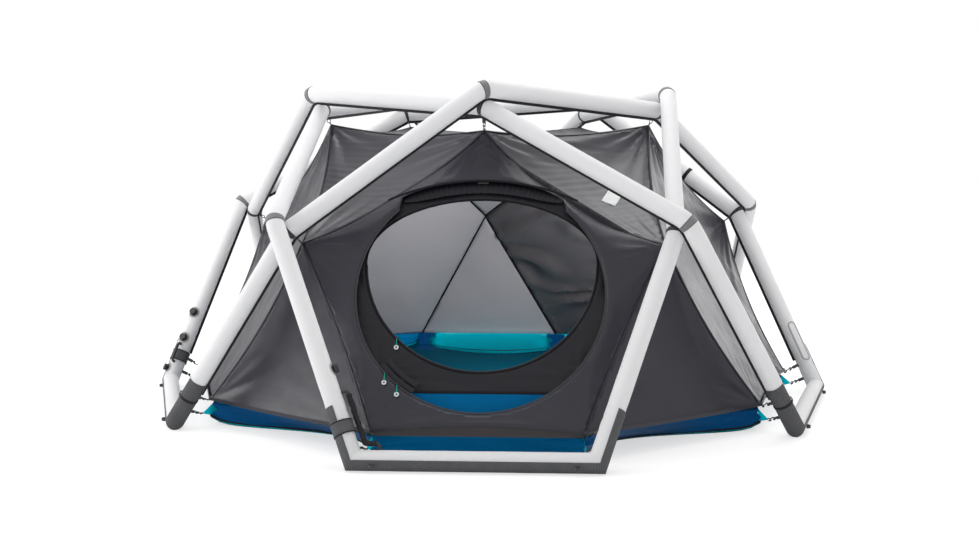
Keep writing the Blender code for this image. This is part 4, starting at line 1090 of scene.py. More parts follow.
@dataclass
class Boots:
    """The dark sleeves under the ground tubes, with bands, peg loops and corner ties."""

    inner: float = 0.0356
    thickness: float = 0.0023
    half_angle: float = math.radians(80)
    rise: float = 0.20
    sides: int = 24
    band_height: float = 0.115
    band_width: float = 0.046
    loop_offset: float = 0.07
    loop_radius: float = 0.014
    loop_width: float = 0.012
    low_tie: float = 0.05
    ring_radius: float = 0.0075
    ring_wire: float = 0.0020
    hook_wire: float = 0.0023
    hem: float = 0.0007
    wide_bands: tuple[tuple[int, int], ...] = ((0, -1), (4, -1))
    bare_legs: tuple[tuple[int, int], ...] = ((0, 1), (1, 1))

    def away(self, bay: int, side: int) -> Vector:
        """Return the outer side of a leg, square to it in the bay's plane."""
        leg = DOME.leg(bay, side)
        run = DOME.run(bay, side)
        return -(run - leg * run.dot(leg)).normalized()

    def shell(self, bay: int) -> bpy.types.Object:
        """Make the open sleeve that follows leg, ground tube and leg."""
        left, right = DOME.foot(bay, -1), DOME.foot(bay, 1)
        corners = [left + DOME.leg(bay, -1) * self.rise, left, right,
                   right + DOME.leg(bay, 1) * self.rise]
        stops = []
        for a, b in zip(corners, corners[1:]):
            count = max(1, round((b - a).length / 0.012))
            stops.extend(a.lerp(b, i / count) for i in range(count))
        stops.append(corners[-1])
        steps = [(b - a).normalized() for a, b in zip(stops, stops[1:])]
        side = self.away(bay, -1)
        points, uvs, faces = [], [], []
        length = 0.0
        for i, stop in enumerate(stops):
            along, after = steps[max(i - 1, 0)], steps[min(i, len(steps) - 1)]
            cut = (along + after).normalized()
            across = along.cross(side)
            length += (stop - stops[i - 1]).length if i else 0.0
            end = i in (0, len(stops) - 1)
            for layer in (0, 1):
                for j in range(self.sides + 1):
                    angle = self.half_angle * (2 * j / self.sides - 1)
                    edge = end or j in (0, self.sides)
                    rim = j in (1, 2, self.sides - 1, self.sides - 2) or i in (1, len(stops) - 2)
                    hem = self.hem if rim else 0.0
                    wave = 0.0005 * waver(length * 14, angle * 1.5, bay * 3.0)
                    cloth = self.thickness * (0.4 if edge else 1.0) + hem + wave
                    reach = self.inner + (cloth if layer else 0.0)
                    arm = spoke(side, across, angle, reach)
                    point = stop + arm - along * (arm.dot(cut) / along.dot(cut))
                    point.z = max(point.z, 0.0002 if layer else 0.0012)
                    points.append(point)
                    uvs.append((angle * self.inner, length))
            side = along.rotation_difference(after) @ side
        row = self.sides + 1
        for i in range(len(stops) - 1):
            here, there = i * 2 * row, (i + 1) * 2 * row
            for layer in (0, row):
                for j in range(self.sides):
                    a, b = here + layer + j, there + layer + j
                    faces.append((a, a + 1, b + 1, b))
            for j in (0, self.sides):
                faces.append((here + j, here + row + j, there + row + j, there + j))
        for i in (0, len(stops) - 1):
            base = i * 2 * row
            for j in range(self.sides):
                faces.append((base + j, base + j + 1, base + row + j + 1, base + row + j))
        return make_mesh(f"{BAYS[bay]}_boot_shell", points, faces, Cloth.BOOT, uvs, 50.0)

    def leg_band(self, bay: int, side: int) -> None:
        """Make the band that holds the boot to a leg, with its two bound edges."""
        foot, leg = DOME.foot(bay, side), DOME.leg(bay, side)
        label = foot_name(bay, side)
        if (bay, side) not in self.wide_bands:
            low = foot + leg * (self.band_height - 0.006)
            line = straight(low, low + leg * 0.012, self.away(bay, side), 0.003)
            strap = band(f"{label}_leg_strap", line, self.inner + self.thickness + 0.0003, 0.0018,
                         Cloth.PIPING)
            settle(strap, slot="strap_webbing")
            return
        low = foot + leg * (self.band_height - self.band_width / 2)
        high = foot + leg * (self.band_height + self.band_width / 2)
        wrap = band(f"{label}_leg_band", straight(low, high, self.away(bay, side), 0.006),
                    self.inner + self.thickness + 0.0004, 0.0016, Cloth.BOOT, hem=0.0004)
        settle(wrap, slot="boot_fabric")
        for place, end in (("lower", 0.0), ("upper", 1.0)):
            middle = low.lerp(high, end)
            line = straight(middle - leg * 0.0024, middle + leg * 0.0024, self.away(bay, side),
                            0.0012)
            rim = band(f"{label}_{place}_binding", line, self.inner + self.thickness + 0.0003,
                       0.0028, Cloth.PIPING)
            settle(rim, slot="strap_webbing")

    def peg_loop(self, bay: int, side: int) -> None:
        """Make the loop of tape that takes a tent peg."""
        foot, run = DOME.foot(bay, side), DOME.run(bay, side)
        out = Vector((run.y, -run.x, 0)).normalized()
        out = out if out.dot(foot) > 0 else -out
        reach = self.inner + self.thickness * 0.7
        spot = foot + run * self.loop_offset + out * reach - Vector((0, 0, 0.012))
        turns = [math.pi * i / 16 for i in range(17)]
        arc = [spot + (run * math.cos(a) * 0.8 + out * math.sin(a)) * self.loop_radius for a in turns]
        tape(f"{foot_name(bay, side)}_peg_loop", Track(arc, run), self.loop_width, 0.0014,
             Cloth.DARK_WEBBING, "strap_webbing")

    def corner_tie(self, bay: int, side: int) -> None:
        """Make the straps, rings and hooks that pull out the lower corners of the fly and the tub."""
        foot, leg = DOME.foot(bay, side), DOME.leg(bay, side)
        label = foot_name(bay, side)
        angle = DOME.bay_angle(bay) + side * DOME.foot_half_angle
        tip = DOME.polar(DOME.tip_radius, angle, DOME.tip_height - DOME.axis_height)
        for kind, height, end in (("fly", self.band_height, DOME.fly_foot(bay, side)),
                                  ("tub", self.low_tie, tip)):
            grip = foot + leg * height
            aim = end - grip
            aim = (aim - leg * aim.dot(leg)).normalized()
            start = grip + aim * (self.inner + self.thickness * 0.6)
            mouth = start.lerp(end, 0.42)
            run = (end - start).normalized()
            tape(f"{label}_{kind}_tie", straight(start, mouth, leg.cross(run)), 0.014, 0.002,
                 Cloth.DARK_WEBBING, "strap_webbing")
            eye = mouth + run * (self.ring_radius - 0.001)
            ring = wire_ring(f"{label}_{kind}_ring", eye, leg.cross(run), run, self.ring_radius,
                             self.ring_wire)
            settle(ring, slot="strap_webbing")
            clip = hook(f"{label}_{kind}_hook", eye + run * self.ring_radius, end - run * 0.003,
                        self.hook_wire)
            settle(clip, slot="strap_webbing")

    def build(self) -> None:
        """Make every boot."""
        for bay in range(5):
            settle(self.shell(bay), f"{BAYS[bay]}_boot", slot="boot_fabric")
            for side in (-1, 1):
                if (bay, side) not in self.bare_legs:
                    self.leg_band(bay, side)
                self.peg_loop(bay, side)
                self.corner_tie(bay, side)


def hook(name: str, start: Vector, end: Vector, wire: float) -> bpy.types.Object:
    """Make a small S-shaped hook of round wire between two points.

    Args:
        name: the piece's name.
        start: the middle of its upper eye.
        end: the middle of its lower eye.
        wire: the wire's radius.

    Returns:
        The new object.
    """
    span = (end - start).length
    aim = (end - start).normalized()
    lean = aim.cross(Vector((0.31, 0.87, 0.38))).normalized()
    eye = min(0.007, span * 0.3)
    shape = []
    for i in range(11):
        turn = math.radians(60 + 260 * i / 10)
        shape.append(start + aim * (eye * math.cos(turn)) + lean * (eye * math.sin(turn)))
    for i in range(13):
        turn = math.radians(150 - 280 * i / 12)
        shape.append(end - aim * (eye * 0.1) + aim * (eye * math.cos(turn + math.pi))
                     + lean * (eye * math.sin(turn)))
    track = Track(shape, lean.cross(aim))
    return tube(name, track, lambda length, angle: wire, Cloth.PLASTIC, 8)


def wire_ring(name: str, centre: Vector, across: Vector, along: Vector, radius: float,
              wire: float) -> bpy.types.Object:
    """Make a black ring from a torus primitive.

    Args:
        name: the piece's name.
        centre: its middle.
        across: a direction in its plane.
        along: another direction in its plane.
        radius: its middle radius.
        wire: its wire's radius.

    Returns:
        The new object.
    """
    ring = primitive("torus", name, major_radius=radius, minor_radius=wire, major_segments=28,
                     minor_segments=10)
    normal = across.cross(along).normalized()
    up = normal.cross(across).normalized()
    ring.data.transform(space(across.normalized(), up, normal, centre))
    ring.data.materials.append(Cloth.PLASTIC.material)
    ring.data.shade_smooth()
    return ring


@dataclass
class Lashings:
    """The webbing, rings and hooks at the ten crossings."""

    tubes: AirTubes
    outer_width: float = 0.022
    inner_width: float = 0.018
    thickness: float = 0.0014
    ring_radius: float = 0.008
    ring_wire: float = 0.0015
    ring_room: float = 0.03
    seam_strap_share: float = 0.33
    tab_width: float = 0.016
    tab_thickness: float = 0.0034
    hook_wire: float = 0.0018

    def strap(self, name: str, bay: int, bend: int, width: float,
              cloth: Cloth) -> tuple[Vector, Vector, Vector]:
        """Make a strap round a tube's bend.

        Args:
            name: the strap's name.
            bay: the arch's bay.
            bend: the number of its bend.
            width: the strap's width.
            cloth: its finish.

        Returns:
            The bend's middle, its inward side and its direction.
        """
        track = self.tubes.tracks[bay % 5]
        middle = self.tubes.bends[bay % 5][bend]
        part = track.part(middle - width / 2, middle + width / 2).refined(0.003)
        piece = band(name, part, DOME.tube_radius + 0.0001, self.thickness, cloth, hem=0.0003)
        settle(piece, slot="strap_webbing")
        centre = len(part.points) // 2
        return part.points[centre], part.sides[centre], part.along[centre]

    def crossing(self, name: str, over: int, over_bend: int, under: int, under_bend: int,
                 corner: Vector) -> None:
        """Make everything at one crossing.

        Args:
            name: the CAD node of the crossing.
            over: the bay of the outer arch.
            over_bend: its bend here.
            under: the bay of the inner arch.
            under_bend: its bend here.
            corner: the fly's corner that hangs here.
        """
        self.strap(f"{name}_over_strap", over, over_bend, self.outer_width, Cloth.GREY_WEBBING)
        lower, inward, along = self.strap(f"{name}_under_strap", under, under_bend,
                                          self.inner_width, Cloth.DARK_WEBBING)
        top = lower + inward * (DOME.tube_radius + self.thickness * 0.8)
        aim = (corner - top).normalized()
        reach = (corner - top).length
        roomy = reach > self.ring_room
        eye = top + aim * (max(reach * 0.5, reach - 0.026) if roomy else reach * 0.4)
        tape_end = eye - aim * (self.ring_radius - 0.001) if roomy else eye
        line = straight(top - aim * 0.002, tape_end, along.cross(aim), 0.006)
        tab = ribbon(f"{name}_tab", line, self.tab_width, self.tab_thickness, Cloth.DARK_WEBBING,
                     -self.tab_thickness / 2)
        settle(tab, name, slot="strap_webbing")
        if roomy:
            ring = wire_ring(f"{name}_ring", eye, along.cross(aim), aim, self.ring_radius,
                             self.ring_wire)
            settle(ring, slot="black_plastic")
            eye += aim * self.ring_radius
        settle(hook(f"{name}_hook", eye, corner - aim * 0.004, self.hook_wire), slot="black_plastic")

    def seam_strap(self) -> None:
        """Make the strap round the right bay's arch and the tab that ties the fly's seam to it."""
        track = self.tubes.tracks[2]
        low, high = self.tubes.bends[2][:2]
        middle = low + (high - low) * self.seam_strap_share
        part = track.part(middle - self.inner_width / 2, middle + self.inner_width / 2).refined(0.003)
        piece = band("seam_strap", part, DOME.tube_radius + 0.0001, self.thickness, Cloth.PIPING,
                     hem=0.0003)
        settle(piece, slot="strap_webbing")
        a, b = DOME.fly_mid(1), DOME.fly_top(2)
        line = seam_line(a, b, DOME.seam_sag(a, b))
        spot = part.at((part.lengths[-1]) / 2)
        end = min(line, key=lambda p: (p - spot).length)
        aim = (end - spot).normalized()
        start = spot + aim * DOME.tube_radius
        line = straight(start, end + aim * 0.004, DOME.outward(spot), 0.006)
        tape("seam_tab", line, 0.034, 0.0016, Cloth.FLY, "fly_fabric")

    def build(self) -> None:
        """Make every lashing."""
        for bay in range(5):
            self.crossing(f"peak_lashing_{bay + 1}", bay, 1, bay - 1, 2, DOME.fly_top(bay))
            self.crossing(f"side_lashing_{bay + 1}", bay - 1, 3, bay + 1, 0, DOME.fly_mid(bay))
        self.seam_strap()


# Tensioned cloth


@dataclass(frozen=True)
class Pull:
    """Wrinkles that run out of a corner where the cloth is pulled."""

    place: Vector
    depth: float = 0.004
    reach: float = 0.16
    count: float = 22.0
    phase: float = 0.0


@dataclass
class TensionPanel:
    """A sewn panel: an outline in space, filled with a fine mesh that sags and wrinkles."""

    name: str
    outline: Points
    cloth: Cloth
    sag: float = 0.03
    spacing: float = 0.013
    pulls: Sequence[Pull] = ()
    waves: float = 0.0025
    wave_size: float = 4.0
    seed: float = 0.0
    hole: Sequence[tuple[float, float]] = ()
    frame: Matrix | None = None
    land: float = 0.0
    streaks: float = 0.0
    streak_size: float = 0.036

    def plane(self) -> Matrix:
        """Return the panel's own frame: X across, Y up and Z out of the tent."""
        if self.frame is not None:
            return self.frame
        middle = sum(self.outline, Vector()) / len(self.outline)
        normal = Vector()
        for a, b in zip(self.outline, self.outline[1:] + self.outline[:1]):
            normal += (a - middle).cross(b - middle)
        normal.normalize()
        if normal.dot(DOME.outward(middle)) < 0:
            normal = -normal
        across = Vector((0, 0, 1)).cross(normal)
        across = across.normalized() if across.length > 0.05 else Vector((1, 0, 0))
        return space(across, normal.cross(across), normal, middle)

    def grid(self, flat: np.ndarray) -> tuple[list, list]:
        """Fill the flat outline with even triangles.

        Args:
            flat: the outline's points in the panel's plane.

        Returns:
            The flat points and the triangles.
        """
        low, high = flat.min(0), flat.max(0)
        h = self.spacing
        xs = np.arange(low[0], high[0] + h, h)
        ys = np.arange(low[1], high[1] + h * 0.866, h * 0.866)
        inner = np.array([(x + (h / 2 if r % 2 else 0), y) for r, y in enumerate(ys) for x in xs])
        inner = inner[inside(inner, flat) & (edge_distance(inner, flat) > h * 0.55)]
        rings = [[tuple(p) for p in flat]]
        if len(self.hole):
            rim = np.array(self.hole)
            inner = inner[~inside(inner, rim) & (edge_distance(inner, rim) > h * 0.55)]
            rings.append([tuple(p) for p in rim])
        points, edges = [], []
        for ring in rings:
            base = len(points)
            points += ring
            edges += [(base + i, base + (i + 1) % len(ring)) for i in range(len(ring))]
        points += [tuple(p) for p in inner]
        made = geometry.delaunay_2d_cdt([Vector(p) for p in points], edges, [], 1, 1e-6)
        found = np.array([tuple(p) for p in made[0]])
        faces = np.array([tuple(f) for f in made[2] if len(f) == 3])
        middles = found[faces].mean(1)
        keep = inside(middles, flat)
        if len(self.hole):
            keep &= ~inside(middles, np.array(self.hole))
        return found, faces[keep]

    def build(self) -> bpy.types.Object:
        """Return the panel's mesh as one sheet."""
        plane = self.plane()
        back = plane.inverted()
        local = np.array([tuple(back @ p) for p in self.outline])
        flat, faces = self.grid(local[:, :2])
        height = mean_value(flat, local)
        edge = edge_distance(flat, local[:, :2])
        size = edge.max()
        share = np.clip(edge / size, 0, 1)
        if self.land:
            ray = np.hypot(flat[:, 0], flat[:, 1])
            blend = np.clip((ray - self.land) / np.maximum(ray - self.land + edge, 1e-6), 0, 1)
            height *= blend
        sag = self.sag * (1 - (1 - share) ** 2)
        mask = np.clip(edge / 0.03, 0, 1)
        if len(self.hole):
            rim = edge_distance(flat, np.array(self.hole))
            calm = np.clip(rim / 0.05, 0.12, 1)
            mask *= calm
        bump = np.zeros(len(flat))
        for i, (x, y) in enumerate(flat):
            slow = waver(x * self.wave_size, y * self.wave_size, self.seed)
            fast = waver(x * self.wave_size * 2.7, y * self.wave_size * 2.7, self.seed + 5)
            bump[i] = self.waves * (slow + 0.4 * fast)
            if self.streaks:
                drift = waver(x * 2.0, y * 5.0, self.seed + 9)
                bend = y / self.streak_size + 1.6 * drift
                where = max(0.0, 0.35 + waver(x * 3.0, y * 7.0, self.seed + 3))
                bump[i] += self.streaks * where * math.sin(math.tau * bend)
        for pull in self.pulls:
            at = back @ pull.place
            dx, dy = flat[:, 0] - at.x, flat[:, 1] - at.y
            away = np.hypot(dx, dy)
            angle = np.arctan2(dy, dx)
            grow = np.clip(away / 0.05, 0, 1) * np.exp(-away / pull.reach)
            wobble = np.sin(angle * pull.count + pull.phase + 1.3 * np.sin(angle * 5 + pull.phase))
            bump += pull.depth * grow * wobble
        height = height - sag + bump * mask
        points = [plane @ Vector((x, y, z)) for (x, y), z in zip(flat, height)]
        uvs = [(x, y) for x, y in flat]
        piece = make_mesh(self.name, points, faces, self.cloth, uvs, 60.0)
        middle = sum(self.outline, Vector()) / len(self.outline)
        turn_outward(piece, plane.col[2].to_3d() if self.frame else DOME.outward(middle))
        return piece


def turn_outward(piece: bpy.types.Object, outward: Vector) -> None:
    """Turn an open sheet so that its faces look this way on the whole."""
    total = Vector()
    for face in piece.data.polygons:
        total += face.normal * face.area
    if total.dot(outward) < 0:
        piece.data.flip_normals()


def inside(points: np.ndarray, outline: np.ndarray) -> np.ndarray:
    """Return which points lie in a closed outline."""
    x, y = points[:, 0][:, None], points[:, 1][:, None]
    ax, ay = outline[:, 0][None], outline[:, 1][None]
    bx, by = np.roll(ax, -1, 1), np.roll(ay, -1, 1)
    crosses = (ay > y) != (by > y)
    with np.errstate(divide="ignore", invalid="ignore"):
        place = (bx - ax) * (y - ay) / (by - ay) + ax
    return (crosses & (x < place)).sum(1) % 2 == 1


def edge_distance(points: np.ndarray, outline: np.ndarray) -> np.ndarray:
    """Return each point's distance from an outline."""
    best = np.full(len(points), 1e9)
    for a, b in zip(outline[:, :2], np.roll(outline[:, :2], -1, 0)):
        run = b - a
        share = np.clip(((points - a) @ run) / max(run @ run, 1e-12), 0, 1)
        best = np.minimum(best, np.linalg.norm(points - a - share[:, None] * run, axis=1))
    return best


def mean_value(points: np.ndarray, outline: np.ndarray) -> np.ndarray:
    """Return heights carried in from an outline by mean value coordinates.

    Args:
        points: flat points inside the outline.
        outline: the outline's points with their heights.

    Returns:
        A height for each point.
    """
    heights = outline[:, 2]
    result = np.empty(len(points))
    for start in range(0, len(points), 2000):
        chunk = points[start:start + 2000]
        arms = outline[None, :, :2] - chunk[:, None]
        reach = np.linalg.norm(arms, axis=2)
        on = reach.min(1) < 1e-6
        after = np.roll(arms, -1, 1)
        cross = arms[..., 0] * after[..., 1] - arms[..., 1] * after[..., 0]
        dot = (arms * after).sum(2)
        half = np.tan(np.arctan2(cross, dot) / 2)
        weight = (half + np.roll(half, 1, 1)) / np.maximum(reach, 1e-9)
        value = (weight * heights).sum(1) / weight.sum(1)
        value[on] = heights[reach[on].argmin(1)]
        result[start:start + 2000] = value
    return result


DEEP_SAG = 0.037


def seam_line(a: Vector, b: Vector, sag: float, spacing: float = 0.013) -> Points:
    """Return a sewn edge drawn inward between its corners, without its last point."""
    count = max(2, round((b - a).length / spacing))
    power = 3 if sag > DEEP_SAG else 2
    points = []
    for i in range(count):
        point = a.lerp(b, i / count)
        points.append(point - DOME.outward(point) * (sag * (1 - abs(2 * i / count - 1) ** power)))
    return points


def hem_line(a: Vector, b: Vector, rise: float, spacing: float = 0.013) -> Points:
    """Return a free lower edge cut up between its corners, without its last point."""
    count = max(2, round((b - a).length / spacing))
    return [a.lerp(b, i / count) + Vector((0, 0, rise * 4 * i / count * (1 - i / count)))
            for i in range(count)]


def straight_edges(corners: Points, spacing: float = 0.013) -> Points:
    """Return a closed outline of straight edges, divided at about this spacing."""
    points: Points = []
    for a, b in zip(corners, corners[1:] + corners[:1]):
        count = max(2, round((b - a).length / spacing))
        points += [a.lerp(b, i / count) for i in range(count)]
    return points


def wall_frame(top: Vector, left: Vector, right: Vector, height: float) -> Matrix:
    """Return a leaning wall's frame at a height: X across, Y up the wall, Z out."""
    across = (right - left).normalized()
    base = (left + right) / 2
    up = (top - base).normalized()
    place = base.lerp(top, (height - base.z) / (top.z - base.z))
    return space(across, up, across.cross(up), place)


@dataclass
class DoorShape:
    """The round door: its zip, the crown over it and the inner opening."""

    radius: float = 0.47
    height: float = 0.575
    gap_angle: float = math.radians(43)
    crown_radius: float = 0.812
    crown_centre: float = -0.35
    crown_half_angle: float = math.radians(22.5)
    binding_half_angle: float = math.radians(26.6)
    inner_radius: float = 0.44
    inner_rise: float = 0.117
    inner_crown: float = 0.262
    canopy_gap: float = 0.045
    canopy_hem: float = 0.085
    zip_points: int = 96
    back_slip: tuple[float, float, float] = (-0.068, -0.05, 0.0)
    back_dip: float = 0.018

    def outer_frame(self) -> Matrix:
        """Return the frame of the fly's front wall."""
        return wall_frame(DOME.door_peak(), DOME.fly_foot(0, -1), DOME.fly_foot(0, 1), self.height)

    def canopy_point(self, point: Vector) -> Vector:
        """Return the inner tent's corner inside a corner of the fly."""
        return point - DOME.outward(point) * self.canopy_gap

    def canopy_top(self, bay: int) -> Vector:
        """Return the canopy's corner under a peak."""
        return self.canopy_point(DOME.fly_top(bay) if bay % 5 else DOME.door_peak())

    def canopy_foot(self, bay: int, side: int) -> Vector:
        """Return a lower corner of the canopy."""
        angle = DOME.bay_angle(bay) + side * DOME.foot_half_angle
        dip = self.back_dip if (bay % 5, side) in ((2, 1), (3, -1)) else 0.0
        return DOME.polar(DOME.fly_foot_radius - self.canopy_gap, angle,
                          self.canopy_hem - dip - DOME.axis_height)

    def inner_frame(self) -> Matrix:
        """Return the frame of the inner tent's front wall."""
        return wall_frame(self.canopy_top(0), self.canopy_foot(0, -1), self.canopy_foot(0, 1),
                          self.height)

    def canopy_mid(self, bay: int) -> Vector:
        """Return a side corner of the canopy, in the front wall's plane beside the door."""
        point = self.canopy_point(DOME.fly_mid(bay))
        if bay % 5 == 2:
            return point + Vector(self.back_slip)
        if bay % 5 not in (0, 4):
            return point
        plane = self.inner_frame()
        local = plane.inverted() @ point
        return plane @ Vector((local.x, local.y, 0))

    def opening(self) -> list[tuple[float, float]]:
        """Return the fly's opening in its wall's frame: the zip's round, then the crown."""
        count = self.zip_points
        start = math.pi / 2 + self.gap_angle
        turn = math.tau - 2 * self.gap_angle
        points = [(self.radius * math.cos(start + turn * i / count),
                   self.radius * math.sin(start + turn * i / count)) for i in range(count + 1)]
        for i in range(25):
            a = math.pi / 2 - self.crown_half_angle + 2 * self.crown_half_angle * i / 24
            points.append((self.crown_radius * math.cos(a),
                           self.crown_centre + self.crown_radius * math.sin(a)))
        return points

    def inner_opening(self, count: int = 120) -> list[tuple[float, float]]:
        """Return the outline of the inner opening in the inner wall's frame."""
        points = []
        for i in range(count):
            a = math.tau * i / count
            rise = self.inner_crown if math.sin(a) > 0 else self.inner_radius
            points.append((self.inner_radius * math.cos(a), self.inner_rise + rise * math.sin(a)))
        return points


DOOR = DoorShape()


@dataclass
class FlySheet:
    """The dark outer sheet: a roof, five walls, their taped seams and the label."""

    hem_rise: float = 0.028
    wall_sag: float = 0.035
    side_sag: float = 0.020
    gusset_rise: float = -0.007
    flap_foot: float = 0.086
    thickness: float = 0.0009
    label_size: tuple[float, float] = (0.058, 0.094)
    label_place: tuple[float, float] = (0.5195, 0.239)
    label_turn: float = math.radians(8)
    seam_width: float = 0.008
    hem_width: float = 0.016
    zip_flap_arc: tuple[float, float] = (219.0, 20.0)
    zip_flap_radii: tuple[tuple[str, float], ...] = (("outer", 0.452), ("inner", 0.427))

    def pulls(self, corners: Sequence[Vector], depth: float, reach: float) -> list[Pull]:
        """Return the wrinkles at a panel's corners."""
        return [Pull(corner, depth, reach, 19.0 + 3 * (i % 3), i * 1.7)
                for i, corner in enumerate(corners)]

    def loop(self, corners: Sequence[Vector], hem: tuple[int, int] | None = None) -> Points:
        """Return the outline through these corners.

        Args:
            corners: the corners in order.
            hem: the pair of corners between which the edge is a free hem.

        Returns:
            The outline's points.
        """
        points: Points = []
        for i, a in enumerate(corners):
            b = corners[(i + 1) % len(corners)]
            if hem == (i, (i + 1) % len(corners)):
                points += hem_line(a, b, self.hem_rise if len(corners) == 5 else self.gusset_rise)
            else:
                points += seam_line(a, b, DOME.seam_sag(a, b))
        return points

    def roof(self) -> None:
        """Make the roof from its pentagon and triangles."""
        tops = [DOME.fly_top(bay) for bay in range(5)]
        # The roof's panels take the lighter copy of the fly's colour: painted light from above.
        parts = [TensionPanel("fly_roof_top", self.loop(tops), Cloth.ROOF, self.wall_sag,
                              pulls=self.pulls(tops, 0.005, 0.2), seed=3.0, waves=0.005,
                              streaks=0.0012).build()]
        for bay in range(5):
            corners = [tops[bay], DOME.fly_mid(bay), tops[(bay + 1) % 5]]
            parts.append(TensionPanel(f"fly_roof_side_{bay}", self.loop(corners), Cloth.ROOF,
                                      self.side_sag, pulls=self.pulls(corners, 0.007, 0.22),
                                      seed=11.0 + bay, waves=0.004, streaks=0.0024).build())
        self.finish(parts, "fly_roof_sheet", "fly_roof")

    def wall(self, bay: int) -> None:
        """Make one wall from its pentagon and gusset."""
        corners = [DOME.fly_top(bay), DOME.fly_mid(bay - 1), DOME.fly_foot(bay, -1),
                   DOME.fly_foot(bay, 1), DOME.fly_mid(bay)]
        outline = self.loop(corners, (2, 3))
        pulls = self.pulls(corners, 0.004, 0.17)
        if bay in (1, 4):
            pulls = [replace(p, depth=0.009 if p.place.z > 0.5 else 0.003) for p in pulls]
        if bay == 0:
            pulls[0] = Pull(corners[0], 0.008, 0.12, 30.0)
        name = f"fly_{BAYS[bay]}_pentagon"
        if bay == 0:
            pane = TensionPanel(name, outline, Cloth.FLY, 0.0, pulls=pulls, hole=DOOR.opening(),
                                frame=DOOR.outer_frame(), land=0.485, seed=1.0, waves=0.004,
                                wave_size=7.0)
        else:
            pane = TensionPanel(name, outline, Cloth.FLY, self.wall_sag, pulls=pulls,
                                seed=20.0 + bay, waves=0.005, wave_size=7.0)
        ends = [DOME.fly_mid(bay), DOME.fly_foot(bay, 1), DOME.fly_foot(bay + 1, -1)]
        side = TensionPanel(f"fly_{BAYS[bay]}_gusset", self.loop(ends, (1, 2)), Cloth.FLY,
                            self.side_sag, pulls=self.pulls(ends, 0.002, 0.20), seed=30.0 + bay,
                            waves=0.0025, wave_size=6.0)
        self.finish([pane.build(), side.build()], f"fly_{BAYS[bay]}_sheet", f"fly_{BAYS[bay]}_wall")

    def finish(self, parts: Sequence[bpy.types.Object], name: str, node: str) -> None:
        """Sew panels of the fly together, in the place of a node."""
        sew(parts, name, [node], "fly_fabric", self.thickness)

    def seams(self) -> None:
        """Make the raised seams between the panels."""
        lines = []
        for bay in range(5):
            top, after = DOME.fly_top(bay), DOME.fly_top(bay + 1)
            mid = DOME.fly_mid(bay)
            lines += [(f"ridge_{bay}", top, after), (f"left_hip_{bay}", top, mid),
                      (f"right_hip_{bay}", after, mid),
                      (f"left_corner_{bay}", mid, DOME.fly_foot(bay, 1)),
                      (f"right_corner_{bay}", mid, DOME.fly_foot(bay + 1, -1))]
        for label, a, b in lines:
            points = seam_line(a, b, DOME.seam_sag(a, b)) + [b]
            points = [p + DOME.outward(p) * 0.0006 for p in points]
            track = faced(points, [DOME.outward(p) for p in points])
            tape(f"fly_seam_{label}", track, self.seam_width, 0.0007, Cloth.FLY, "fly_fabric")
        for bay in range(5):
            for label, a, b, rise in (
                    (f"front_hem_{bay}", DOME.fly_foot(bay, -1), DOME.fly_foot(bay, 1), self.hem_rise),
                    (f"side_hem_{bay}", DOME.fly_foot(bay, 1), DOME.fly_foot(bay + 1, -1),
                     self.gusset_rise)):
                points = hem_line(a, b, rise) + [b]
                points = [p + Vector((0, 0, 0.008)) + DOME.outward(p) * 0.0006 for p in points]
                track = Track(points, DOME.outward((a + b) / 2))
                tape(f"fly_{label}", track, self.hem_width, 0.0008, Cloth.FLY, "fly_fabric")

    def crown(self) -> None:
        """Make the black binding along the crown, and the flap over the lower left of the zip."""
        plane = DOOR.outer_frame()
        out = plane.col[2].to_3d()
        turns = [DOOR.binding_half_angle * (i / 30 - 1) for i in range(61)]
        reach = DOOR.crown_radius + 0.004
        places = [plane @ Vector((reach * math.sin(a), DOOR.crown_centre + reach * math.cos(a), 0.0006))
                  for a in turns]
        tape("door_crown_binding", faced(places, [out] * len(places)), 0.009, 0.0016,
             Cloth.BLACK_TAPE, "fly_fabric")
        start, turn = self.zip_flap_arc
        for label, radius in self.zip_flap_radii:
            turns = [math.radians(start + turn * i / 24) for i in range(25)]
            places = [plane @ Vector((radius * math.cos(a), radius * math.sin(a), 0.0012))
                      for a in turns]
            tape(f"door_zip_flap_{label}", faced(places, [out] * len(places)), 0.019, 0.0035,
                 Cloth.PANEL, "fly_fabric")

    def flap(self) -> None:
        """Make the strip of coarser cloth that hangs behind the front hem."""
        a, b = DOME.fly_foot(0, -1), DOME.fly_foot(0, 1)
        inward = Vector((0, 1, 0))
        upper = [p + inward * 0.006 + Vector((0, 0, 0.004))
                 for p in hem_line(a, b, self.hem_rise) + [b]]
        lower = [Vector((p.x * 0.99, p.y + 0.010, self.flap_foot)) for p in reversed(upper)]
        panel = TensionPanel("mud_flap", upper + lower, Cloth.MUD_FLAP, 0.0, 0.011, waves=0.004,
                             wave_size=7.0, seed=37.0)
        strip = panel.build()
        thicken(strip, self.thickness)
        settle(strip, slot="fly_fabric")

